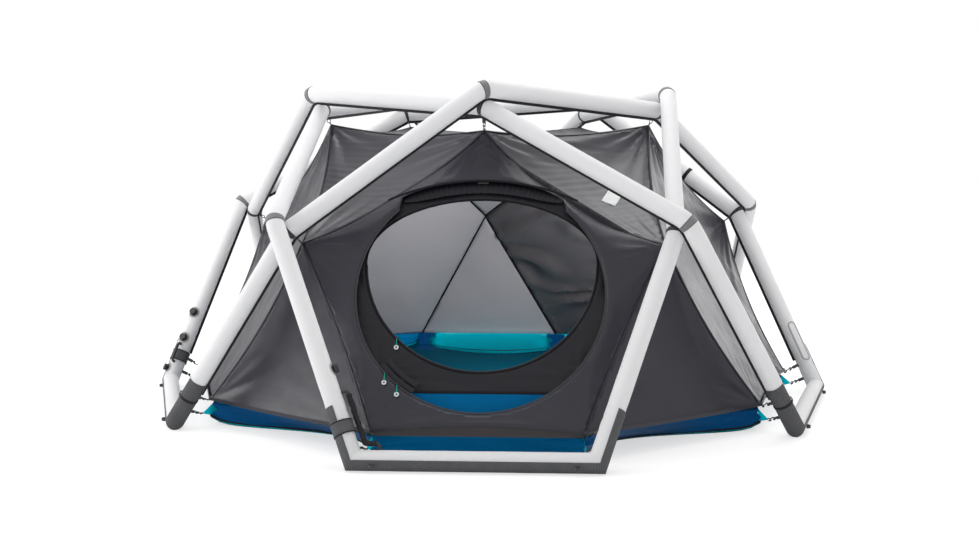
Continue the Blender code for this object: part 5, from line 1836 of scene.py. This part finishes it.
    def label(self) -> None:
        """Make the small blank label sewn to the roof beside the front seam."""
        top, mid, after = DOME.fly_top(0), DOME.fly_mid(0), DOME.fly_top(1)
        normal = (mid - top).cross(after - top).normalized()
        normal = normal if normal.dot(DOME.outward(top)) > 0 else -normal
        along = Matrix.Rotation(self.label_turn, 3, normal) @ (mid - top).normalized()
        along_share, into_share = self.label_place
        centre = top + (mid - top) * along_share + (after - top) * into_share
        patch = primitive("grid", "fly_label", x_subdivisions=12, y_subdivisions=12, size=1.0)
        turn = space(along, normal.cross(along), normal, centre)
        patch.data.transform(turn @ Matrix.Diagonal((*self.label_size, 1.0, 1.0)))
        patch.data.materials.append(Cloth.LABEL.material)
        patch.data.uv_layers[0].name = "Cloth"
        scale_uvs(patch, self.label_size[0])
        select_only(patch)
        lay = patch.modifiers.new("Lay", "SHRINKWRAP")
        lay.target = bpy.data.objects["fly_roof_sheet"]
        lay.wrap_method = "PROJECT"
        lay.use_negative_direction = True
        lay.use_positive_direction = True
        lay.offset = 0.0012
        bpy.ops.object.modifier_apply(modifier=lay.name)
        thicken(patch, 0.0008, 0.0)
        patch.data.shade_smooth()
        settle(patch, slot="fly_fabric")

    def build(self) -> None:
        """Make the whole fly sheet."""
        self.roof()
        for bay in range(5):
            self.wall(bay)
        self.seams()
        self.crown()
        self.flap()
        self.label()


def scale_uvs(piece: bpy.types.Object, scale: float) -> None:
    """Scale a piece's texture places so that they are in metres."""
    layer = piece.data.uv_layers.active
    values = np.empty(len(layer.data) * 2, dtype=np.float32)
    layer.data.foreach_get("uv", values)
    layer.data.foreach_set("uv", values * scale)


@dataclass
class ZipPulls:
    """The three zip pulls: a wire eye, a teal cord and a flat white ring with a hole."""

    hang: float = 0.038
    eye_radius: float = 0.0024
    eye_wire: float = 0.0007
    cord_radius: float = 0.0015
    ring_radius: float = 0.0062
    ring_wire: float = 0.0030
    flatness: float = 0.65
    outer_reach: float = 0.46625
    inner_reach: float = 0.43628
    hinge_height: float = 0.0071
    upper_angle: float = -137.0
    lower_angle: float = -129.0
    inner_angle: float = -135.0

    def pattern(self) -> bpy.types.Object:
        """Model one pull that hangs down from the origin."""
        eye = primitive("torus", "pull_eye", major_radius=self.eye_radius, minor_radius=self.eye_wire,
                        major_segments=24, minor_segments=8, rotation=(0, math.pi / 2, 0))
        bpy.ops.object.transform_apply()
        eye.data.materials.append(Cloth.PLASTIC.material)
        eye.data.shade_smooth()
        ring = primitive("torus", "pull_ring", major_radius=self.ring_radius,
                         minor_radius=self.ring_wire, major_segments=36, minor_segments=16,
                         location=(0, -self.hang, 0))
        bpy.ops.object.transform_apply()
        bpy.ops.object.mode_set(mode="EDIT")
        bpy.ops.mesh.select_all(action="SELECT")
        bpy.ops.transform.resize(value=(1.0, 1.0, self.flatness))
        bpy.ops.object.mode_set(mode="OBJECT")
        ring.data.materials.append(Cloth.BEAD.material)
        ring.data.shade_smooth()
        ends = [Vector((0, -self.eye_radius, 0)), Vector((0, self.ring_radius - self.hang, 0))]
        cord = tube("pull_cord", Track(ends, Vector((0, 0, 1))).refined(0.002),
                    lambda length, angle: self.cord_radius, Cloth.TEAL_CORD, 10)
        tail = Track([ends[1] + Vector((0, 0.005, 0)), ends[1]], Vector((0, 0, 1))).refined(0.001)
        knot = tube("pull_knot", tail, lambda length, angle: self.cord_radius * 1.7,
                    Cloth.TEAL_CORD, 10)
        return join([eye, ring, cord, knot], "zip_pull")

    def build(self) -> None:
        """Hang a pull on each slider."""
        pattern = self.pattern()
        outer, inner = DOOR.outer_frame(), DOOR.inner_frame()
        places = (
            ("upper_pull", "door_zip_upper_pull", outer, self.outer_reach, self.upper_angle, 0.0),
            ("lower_pull", "door_zip_lower_pull", outer, self.outer_reach, self.lower_angle, 0.0),
            ("inner_pull", "inner_zip_pull", inner, self.inner_reach, self.inner_angle,
             DOOR.inner_rise))
        for body, node, plane, reach, degrees, rise in places:
            piece = pattern.copy()
            piece.data = pattern.data.copy()
            piece.name = piece.data.name = f"{body}_ring"
            bpy.context.scene.collection.objects.link(piece)
            angle = math.radians(degrees)
            spot = Vector((reach * math.cos(angle), rise + reach * math.sin(angle), self.hinge_height))
            piece.data.transform(plane @ Matrix.Translation(spot))
            settle(piece, node, body=body, slot="pull_plastic")
        bpy.data.objects.remove(pattern)


@dataclass
class AirFittings:
    """The pads under the valves, the front hose's wrap and the grip on the right rear leg."""

    pad_radius: float = 0.027
    pad_thickness: float = 0.0012
    wrap_radius: float = 0.0095
    grip_place: float = 0.215
    grip_length: float = 0.19
    grip_width: float = 0.034
    bead: float = 0.0016
    valve_direction: float = math.radians(-104.6)
    lock_direction: float = math.radians(-147)

    def leg_frame(self, bay: int, side: int, height: float, out: Vector) -> Matrix:
        """Return the frame on a leg's axis at a height above its foot: X along it and Z out."""
        leg = DOME.leg(bay, side)
        away = (out - leg * out.dot(leg)).normalized()
        return space(leg, away.cross(leg), away, DOME.foot(bay, side) + leg * height)

    def pad(self, label: str, place: Matrix) -> None:
        """Make a round pad that is bonded to a leg under a valve.

        Args:
            label: the valve's name.
            place: the frame of the leg at the valve.
        """
        disc = primitive("circle", f"{label}_pad", vertices=48, radius=self.pad_radius,
                         fill_type="NGON")
        bpy.ops.object.mode_set(mode="EDIT")
        bpy.ops.mesh.select_all(action="SELECT")
        for _ in range(5):
            bpy.ops.mesh.inset(thickness=self.pad_radius / 6.5)
        bpy.ops.object.mode_set(mode="OBJECT")
        reach = DOME.tube_radius + 0.0002
        for point in disc.data.vertices:
            turn = point.co.y / reach
            point.co = Vector((point.co.x, math.sin(turn) * reach, math.cos(turn) * reach))
        disc.data.transform(place)
        disc.data.materials.append(Cloth.PAD.material)
        thicken(disc, self.pad_thickness, 1.0)
        disc.data.shade_smooth()
        settle(disc, slot="tube_fabric")

    def wrap(self, label: str, corners: Points, radius: float) -> None:
        """Make the crumpled black sleeve round a link hose.

        Args:
            label: the hose's name.
            corners: the corners of the sleeve's axis.
            radius: its radius.
        """
        path, _ = filleted(corners, 0.012, 8)

        def reach(length: float, angle: float) -> float:
            """Return the sleeve's radius here."""
            return radius * (1 + 0.30 * round_noise(angle, 1.2, length * 95))

        track = Track(path, Vector((0.2, 1, 0.1))).refined(0.003)
        piece = tube(f"{label}_wrap", track, reach, Cloth.PIPING, 24)
        settle(piece, slot="hose_rubber")

    def grip(self) -> None:
        """Make the raised oval on the right bay's rear leg."""
        place = self.leg_frame(1, 1, self.grip_place, Vector((0.35, -1.0, 0)))
        half, end = self.grip_length / 2 - self.grip_width / 2, self.grip_width / 2
        reach = DOME.tube_radius + 0.0006
        ring = []
        for i in range(64):
            turn = math.tau * i / 64
            along = math.copysign(half, math.cos(turn)) + end * math.cos(turn)
            ring.append((along, end * math.sin(turn)))
        points = [place @ Vector((x, math.sin(y / reach) * reach, math.cos(y / reach) * reach))
                  for x, y in ring]
        away = [(p - (place @ Vector((x, 0, 0)))).normalized() for p, (x, _) in zip(points, ring)]
        track = faced(points, away, closed=True)
        tape("leg_grip_rim", track, 0.006, self.bead, Cloth.PAD, "tube_fabric")

    def build(self) -> None:
        """Make every fitting."""
        outward, low = (Vector((math.cos(turn), math.sin(turn), 0))
                        for turn in (self.valve_direction, self.lock_direction))
        run, leg = DOME.run(0, -1), DOME.leg(0, -1)
        inward = (run - leg * run.dot(leg)).normalized()
        valves = (("inflation", 4, 0.33, outward), ("deflation", 4, 0.20, outward),
                  ("side_lock", 4, 0.045, low), ("front_lock", 0, 0.33, inward))
        for label, bay, height, out in valves:
            self.pad(label, self.leg_frame(bay, -1, height, out))
        foot = DOME.foot(0, -1)
        stand = DOME.tube_radius + 0.022
        upward = (leg - run * leg.dot(run)).normalized()
        corners = [foot + leg * 0.225 + inward * stand,
                   foot + (leg + run) * (stand / leg.cross(run).length),
                   foot + run * 0.078 + upward * stand]
        self.wrap("front_hose", corners, self.wrap_radius)
        self.grip()


@dataclass
class InnerTent:
    """The canopy, the front panel, the blue tub, the floor and the stowed door."""

    thickness: float = 0.0008
    floor_radius: float = 1.28
    corner_reach: float = 0.055
    top_reach_share: float = 0.57
    corner_fade: float = 0.12
    corner_lift: float = 0.030
    lift_fade: float = 0.04
    bay_bow: float = 0.055
    gusset_bow: float = 0.12
    front_skew: float = 9.0
    back_bow: float = 0.31
    gusset_lift: float = 0.010
    bay_lift: float = 0.022
    tub_height: float = 0.0848
    seam_rise: float = 0.13
    sill_height: float = 0.225
    foot_slip: float = -0.106
    seam_share: float = 0.8
    seam_floor: float = 0.9
    panel_spacing: float = 0.022
    tub_rows: int = 9
    tub_columns: int = 26
    ripple_depth: float = 0.012
    crease_depth: float = 0.008
    strip_width: float = 0.10
    strip_run: float = 0.16
    strip_shares: tuple[tuple[str, float], ...] = (("right", 0.13), ("left", 0.955))

    def foot(self, bay: int, side: int) -> Vector:
        """Return the lower end of a canopy seam; one at the back has slipped to the side."""
        slip = self.foot_slip if (bay % 5, side) == (2, 1) else 0.0
        return DOOR.canopy_foot(bay, side) + Vector((slip, 0, 0))

    def outline(self, corners: Sequence[Vector]) -> Points:
        """Return the outline of a canopy panel through these corners."""
        points: Points = []
        for a, b in zip(corners, list(corners[1:]) + [corners[0]]):
            points += seam_line(a, b, self.sag(a, b), 0.02)
        return points

    def canopy(self) -> None:
        """Make the canopy's panels, each in its CAD node's place."""
        tops = [DOOR.canopy_top(bay) for bay in range(5)]
        parts = [TensionPanel("canopy_top", self.outline(tops), Cloth.CANOPY, 0.035,
                              self.panel_spacing, seed=41.0, waves=0.006).build()]
        for bay in range(5):
            corners = [tops[bay], DOOR.canopy_mid(bay), tops[(bay + 1) % 5]]
            parts.append(TensionPanel(f"canopy_side_{bay}", self.outline(corners), Cloth.CANOPY,
                                      0.008, self.panel_spacing, seed=51.0 + bay,
                                      waves=0.006).build())
        self.finish(parts, "canopy_roof_sheet", "canopy_roof", "canopy_fabric")
        for bay in range(1, 5):
            corners = [tops[bay], DOOR.canopy_mid(bay - 1), DOOR.canopy_foot(bay, -1),
                       DOOR.canopy_foot(bay, 1), DOOR.canopy_mid(bay)]
            if bay == 2:
                corners.insert(4, self.foot(bay, 1))
            shaded = bay == 2
            parts = [TensionPanel(f"canopy_{bay}", self.outline(corners),
                                  Cloth.SHADED_CANOPY if shaded else Cloth.CANOPY, 0.040,
                                  self.panel_spacing, seed=61.0 + bay, waves=0.014, wave_size=2.2,
                                  streaks=0.042 if shaded else 0.0, streak_size=0.17).build()]
            for beside in ((0, 1) if bay == 1 else (bay,)):
                ends = [DOOR.canopy_mid(beside), self.foot(beside, 1), self.foot(beside + 1, -1)]
                parts.append(TensionPanel(f"canopy_gusset_{beside}", self.outline(ends),
                                          Cloth.CANOPY, 0.006, self.panel_spacing,
                                          seed=71.0 + beside, waves=0.006).build())
            self.finish(parts, f"canopy_{BAYS[bay]}_sheet", f"canopy_{BAYS[bay]}_wall", "canopy_fabric")

    def finish(self, parts: Sequence[bpy.types.Object], name: str, node: str, slot: str) -> None:
        """Sew panels that hang from the fly together, in the place of a node."""
        sew(parts, name, [node], slot, self.thickness)

    def sag(self, a: Vector, b: Vector) -> float:
        """Return how far the canopy's seam between two corners is drawn in."""
        return DOME.seam_sag(a, b, self.seam_share) if max(a.z, b.z) > self.seam_floor else 0.0

    def seams(self) -> None:
        """Make the black tapes over the canopy's seams, on the inside."""
        for bay in range(5):
            mid = DOOR.canopy_mid(bay)
            top, after = DOOR.canopy_top(bay), DOOR.canopy_top(bay + 1)
            lines = [("left_hip", top, mid), ("right_hip", after, mid),
                     ("left_corner", mid, self.foot(bay, 1)),
                     ("right_corner", mid, self.foot(bay + 1, -1)), ("ridge", top, after)]
            for label, a, b in lines:
                points = seam_line(a, b, self.sag(a, b)) + [b]
                points = [p - DOME.outward(p) * 0.0022 for p in points]
                track = Track(points, -DOME.outward((a + b) / 2))
                tape(f"canopy_seam_{label}_{bay}", track, 0.014, 0.0012, Cloth.BLACK_TAPE,
                     "canopy_fabric")

    def front(self) -> None:
        """Make the dark front panel, its bound opening and the blue sill."""
        plane = DOOR.inner_frame()
        back = plane.inverted()
        corners = [DOOR.canopy_top(0), DOOR.canopy_mid(4), DOOR.canopy_foot(0, -1),
                   DOOR.canopy_foot(0, 1), DOOR.canopy_mid(0)]
        flat = [back @ p for p in corners]
        level = (self.sill_height - DOOR.height) / plane.col[1].z
        share = (flat[1].y - level) / (flat[1].y - flat[2].y)
        half = abs(flat[1].x) + (abs(flat[2].x) - abs(flat[1].x)) * share
        ends = [plane @ Vector((-half, level, 0)), plane @ Vector((half, level, 0))]
        wall = [corners[0], corners[1], *ends, corners[4]]
        pulls = [Pull(plane @ Vector((x, y, 0)), 0.004, 0.14, 17.0, i * 2.1)
                 for i, (x, y) in enumerate(((-0.36, -0.34), (0.36, -0.34), (-0.5, 0.1), (0.5, 0.1)))]
        panel = TensionPanel("front_panel", straight_edges(wall), Cloth.PANEL, 0.0, pulls=pulls,
                             hole=DOOR.inner_opening(), frame=plane, seed=81.0, waves=0.006,
                             wave_size=5.0, streaks=0.002)
        self.finish([panel.build()], "front_panel_sheet", "inner_front_panel", "panel_fabric")
        sill = [ends[0], corners[2], corners[3], ends[1]]
        strip = TensionPanel("sill", straight_edges(sill), Cloth.LIT_TUB, 0.0, frame=plane, seed=83.0,
                             waves=0.002)
        self.finish([strip.build()], "door_sill_sheet", "door_sill", "floor_fabric")
        rim = [plane @ Vector((x, y, 0.0004)) for x, y in DOOR.inner_opening()]
        track = faced(rim, [plane.col[2].to_3d()] * len(rim), closed=True)
        tape("inner_opening_binding", track, 0.008, 0.0013, Cloth.BLACK_TAPE, "panel_fabric")
        edge = [plane @ Vector((half * (2 * i / 60 - 1), level, 0.0003)) for i in range(61)]
        track = Track(edge, plane.col[2].to_3d())
        tape("sill_binding", track, 0.010, 0.0012, Cloth.BLACK_TAPE, "panel_fabric")

    def directions(self) -> Points:
        """Return the level direction of each of the ten feet, in order round the tent."""
        return [DOME.polar(1.0, DOME.bay_angle(bay) + side * DOME.foot_half_angle, -DOME.axis_height)
                for bay in range(5) for side in (-1, 1)]

    def floor_edge(self, number: int, share: float, inset: float = 0.0) -> Vector:
        """Return a point of the floor's edge, which is drawn in between the corners.

        Args:
            number: the number of the corner before it.
            share: how far it is towards the next corner.
            inset: how far inside the edge it lies.

        Returns:
            The point on the ground.
        """
        ways = self.directions()
        a, b = ways[number % 10], ways[(number + 1) % 10]
        share_in = self.back_bow if number == 5 else self.gusset_bow if number % 2 else self.bay_bow
        bow = share_in * (b - a).length * self.floor_radius
        spot = a.lerp(b, share) * (self.floor_radius - inset)
        near = {1: share, 9: 1 - share}.get(number)
        if near is None:
            profile = 4 * share * (1 - share)
        else:
            profile = self.front_skew * near * (1 - near) ** 2
        spot -= (a + b).normalized() * (bow * profile)
        spot += a.lerp(b, share).normalized() * self.drawn_out(share)
        if number != 5:
            spot.z += self.corner_lift * math.exp(-min(share, 1 - share) / self.lift_fade)
        return spot

    def drawn_out(self, share: float) -> float:
        """Return how far the hooks draw the tub out at a share of a side, less off the corners."""
        return self.corner_reach * math.exp(-min(share, 1 - share) / self.corner_fade)

    def tub_point(self, number: int, share: float, rise: float) -> Vector:
        """Return a point of the tub's wall.

        Args:
            number: the number of the corner before it.
            share: how far it is towards the next corner.
            rise: how far it is from the floor to the upper edge.

        Returns:
            The point.
        """
        ways = self.directions()
        dips = [DOOR.back_dip if i % 10 in (5, 6) else 0.0 for i in (number, number + 1)]
        high = ways[number % 10].lerp(ways[(number + 1) % 10], share)
        high *= DOME.fly_foot_radius - DOOR.canopy_gap
        high += high.normalized() * (self.drawn_out(share) * self.top_reach_share)
        high.z = self.tub_height - dips[0] * (1 - share) - dips[1] * share
        if number not in (0, 5):
            lift = self.gusset_lift if number % 2 else self.bay_lift
            high.z += lift * 4 * share * (1 - share)
        return self.floor_edge(number, share).lerp(high, rise)

    def tub(self) -> None:
        """Make the tub's wall, a band that leans out from the bowed floor to its upper edge."""
        ways = self.directions()
        rows, columns = self.tub_rows, self.tub_columns
        points, uvs = [], []
        count = len(ways) * columns
        for row in range(rows + 1):
            rise = row / rows
            for i, way in enumerate(ways):
                after = ways[(i + 1) % len(ways)]
                for j in range(columns):
                    share = j / columns
                    spot = self.tub_point(i, share, rise)
                    ripple = waver(spot.x * 5, spot.y * 5, rise * 3.0)
                    near = min(share, 1 - share)
                    crease = self.crease_depth * math.exp(-near * 6) * math.sin(rise * 12 + i)
                    swell = (self.ripple_depth * ripple + crease) * math.sin(math.pi * rise)
                    spot += (way + after).normalized() * swell
                    points.append(spot)
                    uvs.append((i * 0.75 + share * 0.75, rise * 0.13))
        wall = make_mesh("tub_wall_sheet", points, ring_faces(rows + 1, count), Cloth.TUB, uvs)
        wall.data.materials.append(Cloth.TEAL.material)
        wall.data.materials.append(Cloth.LIT_TUB.material)
        # Slot 1 covers the lowest row and the back side, where it is painted backlight. Slot 2, on
        # sides 0, 4 and 6, is the painted-lit copy of the tub's blue.
        for number, face in enumerate(wall.data.polygons):
            side = number % count // columns
            face.material_index = 1 if side == 5 or number < count else 2 if side in (0, 4, 6) else 0
        turn_wall(wall)
        thicken(wall, self.thickness)
        settle(wall, "tub_wall", slot="floor_fabric")

    def tub_trim(self) -> None:
        """Make the black seam round the tub's foot and the dark strips in its back corners."""
        columns = self.tub_columns
        edge = [self.tub_point(i, j / columns, self.seam_rise)
                for i in range(10) for j in range(columns)]
        track = faced(edge, [Vector((p.x, p.y, 0)).normalized() for p in edge], closed=True)
        tape("tub_seam", track, 0.009, 0.0022, Cloth.BLACK_TAPE, "floor_fabric")
        for label, share in self.strip_shares:
            way = Vector((0, -1, 0))
            low = self.floor_edge(5, share) + way * 0.010
            stops = [self.tub_point(5, share, 0.97) + way * 0.010, low + Vector((0, 0, 0.004)),
                     low + way * self.strip_run + Vector((0, 0, 0.0022))]
            path, _ = filleted(stops, 0.012, 6)
            tape(f"tub_corner_strip_{label}", Track(path, way).refined(0.01), self.strip_width,
                 0.0012, Cloth.CORNER_BLUE, "floor_fabric")

    def corner_tip(self, number: int) -> None:
        """Make the teal point of cloth at a corner of the tub, which the hook of the leg pulls out."""
        way = self.directions()[number]
        outline = [self.tub_point(number, 0.0, 1.0),
                   way * DOME.tip_radius + Vector((0, 0, DOME.tip_height)),
                   self.tub_point(number, 0.0, 0.15), self.tub_point(number, 0.03, 0.6)]
        name = f"tub_tip_{number}"
        panel = TensionPanel(name, outline, Cloth.TEAL, 0.0, 0.008, waves=0.002, wave_size=14.0,
                             seed=number)
        sew([panel.build()], name, [], "floor_fabric", self.thickness)

    def floor(self) -> None:
        """Make the ground sheet."""
        lift = Vector((0, 0, 0.0011))
        outline = [self.floor_edge(i, j / 24, 0.0006) + lift for i in range(10) for j in range(24)]
        panel = TensionPanel("floor", outline, Cloth.FLOOR, 0.0, 0.03,
                             frame=Matrix.Translation(lift), seed=91.0, waves=0.0)
        sew([panel.build()], "ground_sheet_cloth", ["ground_sheet"], "floor_fabric", self.thickness)

    def stowed(self) -> None:
        """Make the pleated pocket with the rolled door in it."""
        plane = DOOR.inner_frame()
        radius = DOOR.crown_radius - 0.031
        half = math.radians(23.2)
        rings, around = 150, 20
        points, uvs = [], []
        for i in range(rings + 1):
            a = math.pi / 2 + half * (1 - 2 * i / rings)
            centre = Vector((radius * math.cos(a), DOOR.crown_centre + radius * math.sin(a), 0.012))
            out = Vector((math.cos(a), math.sin(a), 0))
            taper = 1 - 0.75 * abs(2 * i / rings - 1) ** 6
            pleat = 0.6 * math.sin(i * 1.25 + 2.2 * waver(i * 0.12, 0.4, 2.0))
            for j in range(around):
                turn = math.tau * j / around
                fold = 1 + 0.10 * pleat + 0.08 * waver(i * 0.45, turn, 7.0)
                depth = (0.0085 + 0.0035 * pleat) * math.sin(turn)
                arm = out * (0.030 * math.cos(turn)) + Vector((0, 0, depth))
                points.append(plane @ (centre + arm * (taper * min(fold, 1.04))))
                uvs.append((i * 0.0045, turn * 0.02))
        faces = ring_faces(rings + 1, around)
        faces += [tuple(range(around)), tuple(rings * around + j for j in range(around))]
        roll = make_mesh("stowed_door_roll", points, faces, Cloth.PANEL, uvs, 70.0)
        settle(roll, "stowed_door", slot="stow_fabric")

    def build(self) -> None:
        """Make the whole inner tent."""
        self.canopy()
        self.seams()
        self.front()
        self.tub()
        self.tub_trim()
        for number in range(10):
            self.corner_tip(number)
        self.floor()
        self.stowed()


def turn_wall(piece: bpy.types.Object) -> None:
    """Turn a ring-shaped wall so that its faces look away from the middle."""
    total = 0.0
    for face in piece.data.polygons:
        total += face.normal.dot(Vector((face.center.x, face.center.y, 0)))
    if total < 0:
        piece.data.flip_normals()


@dataclass(frozen=True)
class Lamp:
    """A soft square lamp: its place, its side, its power in watts and the point it looks at."""

    name: str
    place: tuple[float, float, float]
    size: float
    power: float
    aim: tuple[float, float, float] = (0.0, 0.0, 0.5)

    def build(self) -> None:
        """Add the lamp to the scene."""
        data = bpy.data.lights.new(self.name, "AREA")
        data.shape = "SQUARE"
        data.size = self.size
        data.energy = self.power
        lamp = bpy.data.objects.new(self.name, data)
        bpy.context.scene.collection.objects.link(lamp)
        lamp.location = self.place
        lamp.visible_camera = False
        look = Vector(self.aim) - Vector(self.place)
        lamp.rotation_euler = look.to_track_quat("-Z", "Y").to_euler()


LAMPS = (
    Lamp("top_lamp", (0.3, 0.8, 4.2), 3.6, 95.0),
    Lamp("left_lamp", (-4.5, -1.0, 2.2), 2.5, 85.0),
    Lamp("right_back_lamp", (3.4, 4.2, 1.6), 3.0, 55.0),
    Lamp("rear_lamp", (-0.4, 3.4, 0.7), 1.4, 30.0, (0.0, 1.2, 0.05)),
    Lamp("cabin_lamp", (0.62, -0.12, 0.62), 0.5, 15.0, (-0.9, 0.5, 0.45)),
)


@dataclass
class Studio:
    """The pale floor, the soft light all round and the camera."""

    focal_pixels: float = 1210.0
    frame_width: int = 978
    camera_place: tuple[float, float, float] = (0.2007, -5.4903, 1.0924)
    yaw: float = 0.0378
    pitch: float = -0.1089
    roll: float = 0.0026
    floor_size: float = 60.0
    floor_glow: float = 1.33
    glow_share: float = 0.45
    world_light: float = 0.80
    sensor_width: float = 36.0

    def floor(self) -> None:
        """Make the floor, which glows a little to the camera so that it is white off the shadow."""
        ground = primitive("plane", "studio_floor", size=self.floor_size)
        bench = NodeBench("studio_floor")
        bench.set(Base_Color=(0.94, 0.94, 0.94), Roughness=0.9, Specular_IOR_Level=0.1)
        path = bench.add("ShaderNodeLightPath")
        seen = bench.maths("ADD", path.outputs["Is Camera Ray"], path.outputs["Is Glossy Ray"], True)
        white = bench.add("ShaderNodeEmission", Color=(1.0, 1.0, 1.0, 1.0),
                          Strength=self.floor_glow)
        mix = bench.add("ShaderNodeMixShader", i0=bench.maths("MULTIPLY", seen, self.glow_share),
                        i1=bench.shader.outputs[0], i2=white.outputs[0])
        bench.links.new(mix.outputs[0], bench.output.inputs["Surface"])
        ground.data.materials.append(bench.material)

    def world(self) -> None:
        """Light the tent evenly and show white behind it."""
        world = bpy.data.worlds.new("studio")
        world.use_nodes = True
        bpy.context.scene.world = world
        nodes, links = world.node_tree.nodes, world.node_tree.links
        light = nodes["Background"]
        shown = nodes.new("ShaderNodeBackground")
        for background, strength in ((light, self.world_light), (shown, 1.0)):
            background.inputs["Color"].default_value = (1.0, 1.0, 1.0, 1.0)
            background.inputs["Strength"].default_value = strength
        path = nodes.new("ShaderNodeLightPath")
        mix = nodes.new("ShaderNodeMixShader")
        seen = path.outputs["Is Camera Ray"]
        for kind in ("Is Glossy Ray", "Is Transmission Ray"):
            either = nodes.new("ShaderNodeMath")
            either.operation = "MAXIMUM"
            links.new(seen, either.inputs[0])
            links.new(path.outputs[kind], either.inputs[1])
            seen = either.outputs[0]
        links.new(seen, mix.inputs[0])
        links.new(light.outputs[0], mix.inputs[1])
        links.new(shown.outputs[0], mix.inputs[2])
        links.new(mix.outputs[0], nodes["World Output"].inputs["Surface"])

    def camera(self) -> None:
        """Place the camera at the photograph's angle."""
        data = bpy.data.cameras.new("camera")
        data.sensor_width = self.sensor_width
        data.lens = self.sensor_width * self.focal_pixels / self.frame_width
        camera = bpy.data.objects.new("camera", data)
        bpy.context.scene.collection.objects.link(camera)
        x, y, z = self.camera_place
        camera.location = (x, y, z + DOME.axis_height)
        turn = Matrix.Rotation(self.yaw, 4, "Z") @ Matrix.Rotation(math.pi / 2 + self.pitch, 4, "X")
        turn = turn @ Matrix.Rotation(self.roll, 4, "Z")
        camera.rotation_euler = turn.to_euler()
        bpy.context.scene.camera = camera

    def build(self) -> None:
        """Make the studio."""
        self.floor()
        self.world()
        self.camera()
        for lamp in LAMPS:
            lamp.build()
        bpy.context.scene.view_settings.view_transform = "Standard"


def dress_nodes() -> None:
    """Give each CAD node that still shows its own finish."""
    finishes = {"zip_nylon": Cloth.COIL, "black_plastic": Cloth.PLASTIC, "pull_plastic": Cloth.BEAD,
                "hose_rubber": Cloth.RUBBER, "strap_webbing": Cloth.DARK_WEBBING,
                "fly_fabric": Cloth.FLY, "canopy_fabric": Cloth.CANOPY,
                "floor_fabric": Cloth.TUB, "panel_fabric": Cloth.PANEL,
                "stow_fabric": Cloth.PANEL, "tube_fabric": Cloth.SLEEVE, "boot_fabric": Cloth.BOOT}
    for part in frame["record"]["subparts"]:
        node = frame["nodes"][part["node"]]
        for place in node.material_slots:
            place.material = finishes[part["material_slot"]].material


def main() -> None:
    """Build every sub-assembly and report it."""
    logging.basicConfig(level=logging.INFO, format="%(name)s %(message)s")
    dress_nodes()
    Studio().build()
    tubes = AirTubes()
    tubes.build()
    Boots().build()
    Lashings(tubes).build()
    FlySheet().build()
    InnerTent().build()
    ZipPulls().build()
    AirFittings().build()


if __name__ == "__main__":
    main()
